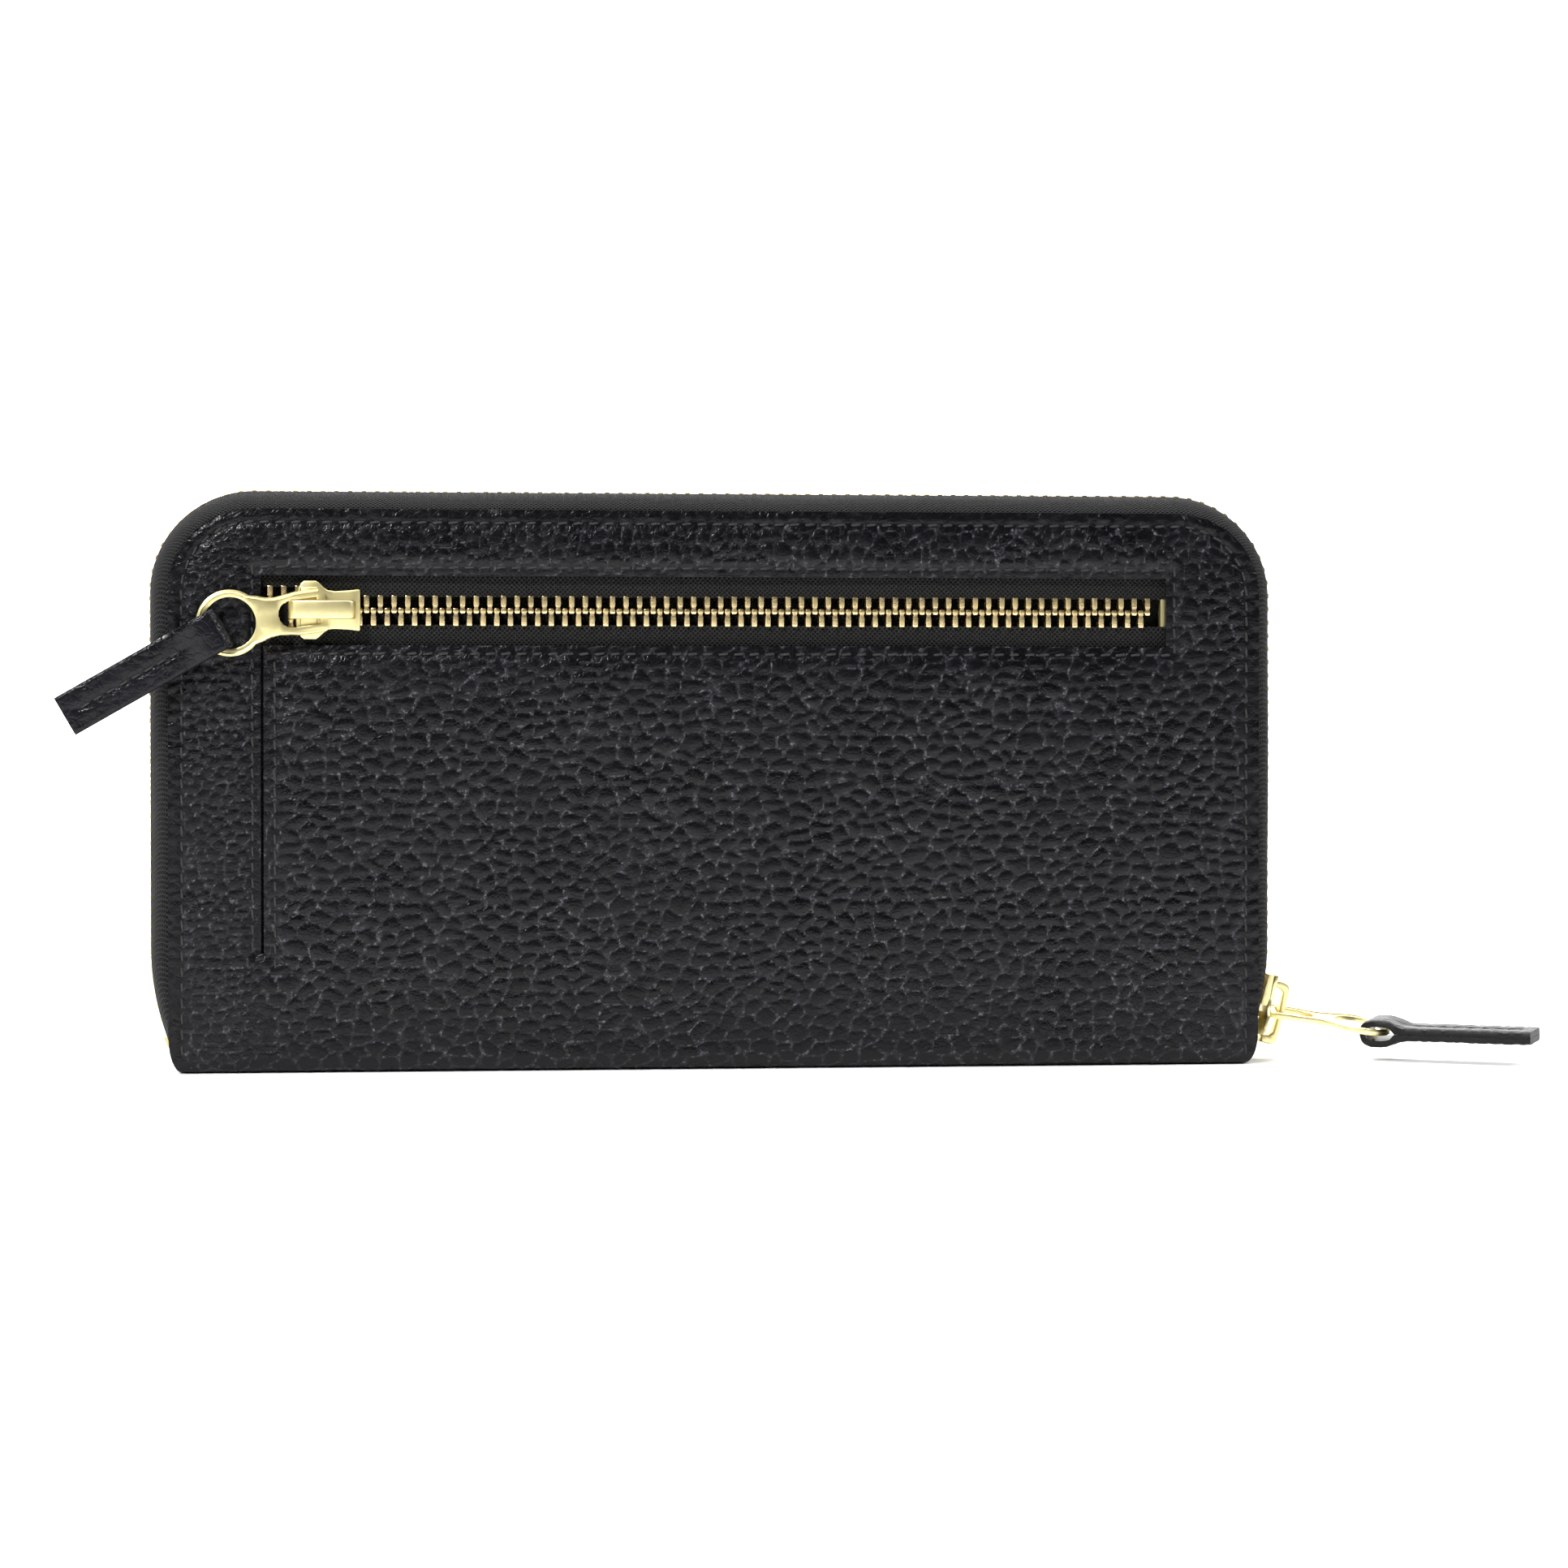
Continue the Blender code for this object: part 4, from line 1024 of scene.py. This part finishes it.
def make_panel(node, body, material, creased=True, grown=0.0, radius=3.0 * MM):
    """A thin inner sheet with rounded upper corners and a pressed line below its top edge."""
    low, high = (Vector(c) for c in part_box(node))
    low.x -= grown
    high.x += grown
    thick = (high.y - low.y) / 2
    middle = (high.y + low.y) / 2
    columns = spaced([low.x, high.x], 2.0 * MM)
    rows = spaced([low.z, high.z - 4 * MM], 2.5 * MM) + spaced([high.z - 3.6 * MM, high.z], 0.4 * MM)
    bm = bmesh.new()
    layers = []
    for face_side in (-1, 1):
        grid = []
        for z in rows:
            inset = 0.0
            if z > high.z - radius:
                inset = radius - math.sqrt(max(radius ** 2 - (z - high.z + radius) ** 2, 0))
            crease = 0.35 * thick * math.exp(-((high.z - 2.2 * MM - z) / (0.35 * MM)) ** 2) if creased else 0
            line = []
            for x in columns:
                x = low.x + inset + (x - low.x) * (high.x - low.x - 2 * inset) / (high.x - low.x)
                sway = 0.3 * thick * noise.noise(Vector((x * 60, z * 60, middle * 900)))
                line.append(bm.verts.new((x, middle + face_side * (thick - crease) + sway, z)))
            grid.append(line)
        layers.append(grid)
    near, far = layers
    last_row, last_column = len(rows) - 1, len(columns) - 1
    for i in range(last_row):
        for j in range(last_column):
            bm.faces.new((near[i][j], near[i][j + 1], near[i + 1][j + 1], near[i + 1][j]))
            bm.faces.new((far[i][j], far[i + 1][j], far[i + 1][j + 1], far[i][j + 1]))
        for j in (0, last_column):
            bm.faces.new((near[i][j], near[i + 1][j], far[i + 1][j], far[i][j]))
    for j in range(last_column):
        for i in (0, last_row):
            bm.faces.new((near[i][j], near[i][j + 1], far[i][j + 1], far[i][j]))
    bmesh.ops.recalc_face_normals(bm, faces=bm.faces)
    return make_piece(f"inner_{node}", bm, [material], body, [node], 60)


def lining_outline(inset):
    """The cover's outline a distance inside its edge, from one foot round the top to the other."""
    half, radius = HALF_LENGTH - inset, CORNER_R - inset
    right = [(half - 1.5 * MM, 4.0 * MM)] + [(half, z) for z in spaced([8 * MM, CORNER_Z], 6 * MM)]
    right += arc((CORNER_X, CORNER_Z), radius, 8, 90, 10)
    top = [(x, TOP - inset) for x in spaced([CORNER_X, -CORNER_X], -8 * MM)[1:-1]]
    return right + top + [(-x, z) for x, z in reversed(right)]


def make_lining(node, body, side):
    """A cover's lining, which reaches out over the zip's seam and curves up to the leather's edge."""
    low, high = (Vector(c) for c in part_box(node))
    inner_y = low.y if side == BACK else high.y
    edge_y = side * (FOLD_Y - 1.2 * MM)
    bm = bmesh.new()
    rings = []
    for t in (0, 0.1, 0.22, 0.36, 0.52, 0.68, 0.84, 1):
        y = edge_y + (inner_y - edge_y) * ease(t, 0, 0.85)
        rings.append([bm.verts.new((x, y, z)) for x, z in lining_outline(1.6 * MM + 6.2 * MM * t)])
    for first, second in zip(rings, rings[1:]):
        for i in range(len(first) - 1):
            bm.faces.new((first[i], first[i + 1], second[i + 1], second[i]))
    bm.faces.new(rings[-1])
    bmesh.ops.recalc_face_normals(bm, faces=bm.faces)
    bmesh.ops.solidify(bm, geom=bm.faces[:], thickness=0.25 * MM)
    bmesh.ops.recalc_face_normals(bm, faces=bm.faces)
    return make_piece(f"inner_{node}", bm, [LINING], body, [node], 60)


def make_gusset(node, side, face):
    """A side gusset: soft leather folded into a V."""
    low, high = (Vector(c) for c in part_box(node))
    out_x, in_x = (low.x, high.x) if side < 0 else (high.x, low.x)
    cover_y, centre_y = (low.y, high.y) if face == FRONT else (high.y, low.y)
    reach = [0, 0.15, 0.3, 0.45, 0.6, 0.75, 0.88, 0.97, 1.0]
    section = [(t, 0.0) for t in reach] + [(1.0, 0.5)] + [(t, 1.0) for t in reversed(reach)]
    bm = bmesh.new()
    grid = []
    for z in spaced([low.z, high.z], 2.0 * MM):
        sway = 0.25 * MM * noise.noise(Vector((z * 80, side, face)))
        narrow = 0.35 + 0.65 * ease(z, low.z, high.z * 0.6)
        line = []
        for t, w in section:
            x = out_x + (in_x - out_x) * t * narrow
            line.append(bm.verts.new((x, cover_y + (centre_y - cover_y) * w + sway * t * 0.2, z)))
        grid.append(line)
    for first, second in zip(grid, grid[1:]):
        for i in range(len(section) - 1):
            bm.faces.new((first[i], first[i + 1], second[i + 1], second[i]))
    bmesh.ops.solidify(bm, geom=bm.faces[:], thickness=0.2 * MM)
    bmesh.ops.recalc_face_normals(bm, faces=bm.faces)
    piece = make_piece(f"inner_{node}", bm, [SMOOTH], None, [node], 70)
    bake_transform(piece)


def panel_stitches(name, body, lines, y, out):
    bm = bmesh.new()
    for line in lines:
        for x, z, angle in walk(line, STITCH_PITCH):
            along = Vector((math.cos(angle), 0, math.sin(angle)))
            stitch(bm, Vector((x, y, z)), along, Vector((0, out, 0)), STITCH_LENGTH)
    bmesh.ops.recalc_face_normals(bm, faces=bm.faces)
    make_piece(name, bm, [THREAD], body)


def make_inside():
    for number in range(1, 5):
        make_panel(f"front_card_slot_{number}", "front_cover", SMOOTH)
    for number in (1, 2):
        make_panel(f"back_slip_pocket_{number}", "back_cover", SMOOTH)
    for word in ("front", "back"):
        make_panel(f"centre_pocket_{word}", "root", SMOOTH)
        make_lining(f"{word}_lining", f"{word}_cover", FRONT if word == "front" else BACK)
        face = FRONT if word == "front" else BACK
        make_gusset(f"gusset_{word}_left", -1, face)
        make_gusset(f"gusset_{word}_right", 1, face)
    make_panel("pocket_bag_front", "front_cover", LINING, False)
    make_panel("pocket_bag_back", "front_cover", LINING, False)
    face_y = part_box("front_card_slot_4")[1][1]
    rows = [[(0.0, 9 * MM), (0.0, 50 * MM)]]
    rows += [[(side * 82.5 * MM, 9 * MM), (side * 82.5 * MM, 50 * MM)] for side in (-1, 1)]
    panel_stitches("card_slot_stitching", "front_cover", rows, face_y, 1)
    face_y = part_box("back_slip_pocket_2")[0][1]
    rows = [[(side * 82.5 * MM, 9 * MM), (side * 82.5 * MM, 68 * MM)] for side in (-1, 1)]
    panel_stitches("slip_pocket_stitching", "back_cover", rows, face_y, -1)


def finish_plain_nodes():
    """Materials for the CAD nodes that stay: hidden boards, linings and stops."""
    looks = {
        "front_board": BOARD,
        "back_board": BOARD,
        "spine_lining": LINING,
        "centre_pocket_base": LINING,
        "main_end_stop": BRASS,
        "main_top_stop_front": BRASS,
        "main_top_stop_back": BRASS,
        "pocket_end_stop": BRASS,
    }
    for node, material in looks.items():
        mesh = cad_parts[node].data
        mesh.materials.clear()
        mesh.materials.append(material)


# ---------------------------------------------------------------- stage, light and camera

def make_stage():
    bm = bmesh.new()
    reach, rise = 9.0, 6.0
    path = [(-reach, 0.0), (0.9, 0.0)]
    path += [(0.9 + 0.5 * math.sin(t), 0.5 * (1 - math.cos(t))) for t in (0.3, 0.6, 0.9, 1.2, 1.57)]
    path += [(1.4, rise)]
    rows = [[bm.verts.new((x, y, z)) for x in (-reach, reach)] for y, z in path]
    for first, second in zip(rows, rows[1:]):
        bm.faces.new((first[0], first[1], second[1], second[0]))
    mesh = bpy.data.meshes.new("floor")
    bm.to_mesh(mesh)
    bm.free()
    mesh.shade_smooth()
    material, nodes, links, shader = new_material("pale_floor", (0.93, 0.93, 0.93), 0.9)
    shader.inputs["Specular IOR Level"].default_value = 0.1
    mesh.materials.append(material)
    floor = bpy.data.objects.new("floor", mesh)
    bpy.context.scene.collection.objects.link(floor)


def add_light(name, place_at, target, size, power):
    data = bpy.data.lights.new(name, "AREA")
    data.shape = "RECTANGLE"
    data.size, data.size_y = size
    data.energy = power
    light = bpy.data.objects.new(name, data)
    bpy.context.scene.collection.objects.link(light)
    light.location = place_at
    light.rotation_euler = (Vector(target) - Vector(place_at)).to_track_quat("-Z", "Y").to_euler()


def make_lights():
    world = bpy.data.worlds.new("studio")
    bpy.context.scene.world = world
    world.use_nodes = True
    background = world.node_tree.nodes["Background"]
    background.inputs["Color"].default_value = (1, 1, 1, 1)
    background.inputs["Strength"].default_value = 0.07
    centre = (0, 0, 0.05)
    add_light("top_soft", (0.0, -0.05, 0.95), centre, (0.9, 0.3), 5)
    add_light("left_key", (-0.42, -0.62, 0.66), centre, (0.08, 0.12), 8)
    add_light("right_key", (0.62, -0.22, 0.5), centre, (0.07, 0.12), 2.0)
    add_light("backdrop_light", (0.0, 0.5, 1.3), (0.0, 1.4, 0.2), (2.0, 0.6), 55)
    far = bpy.data.lights.new("far_floor_light", "SUN")
    far.energy = 0.9
    far.angle = math.radians(60)
    sun = bpy.data.objects.new("far_floor_light", far)
    bpy.context.scene.collection.objects.link(sun)
    bpy.context.scene.view_settings.view_transform = "Standard"


def make_camera():
    azimuth, elevation = math.radians(-6.0), math.radians(0.8)
    distance = 0.70
    seen_width = 0.2886
    target = Vector((0.0125, 0, 0.0515))
    back = Vector((
        math.sin(azimuth) * math.cos(elevation),
        -math.cos(azimuth) * math.cos(elevation),
        math.sin(elevation),
    ))
    data = bpy.data.cameras.new("camera")
    data.sensor_width = 36.0
    data.lens = data.sensor_width * distance / seen_width
    camera = bpy.data.objects.new("camera", data)
    bpy.context.scene.collection.objects.link(camera)
    camera.location = target + back * distance
    camera.rotation_euler = (-back).to_track_quat("-Z", "Y").to_euler()
    bpy.context.scene.camera = camera


make_camera()
make_stage()
make_lights()
for cover_side in (FRONT, BACK):
    make_wrap(cover_side)
    make_stitching(cover_side)
make_zips()
make_sliders()
make_inside()
finish_plain_nodes()
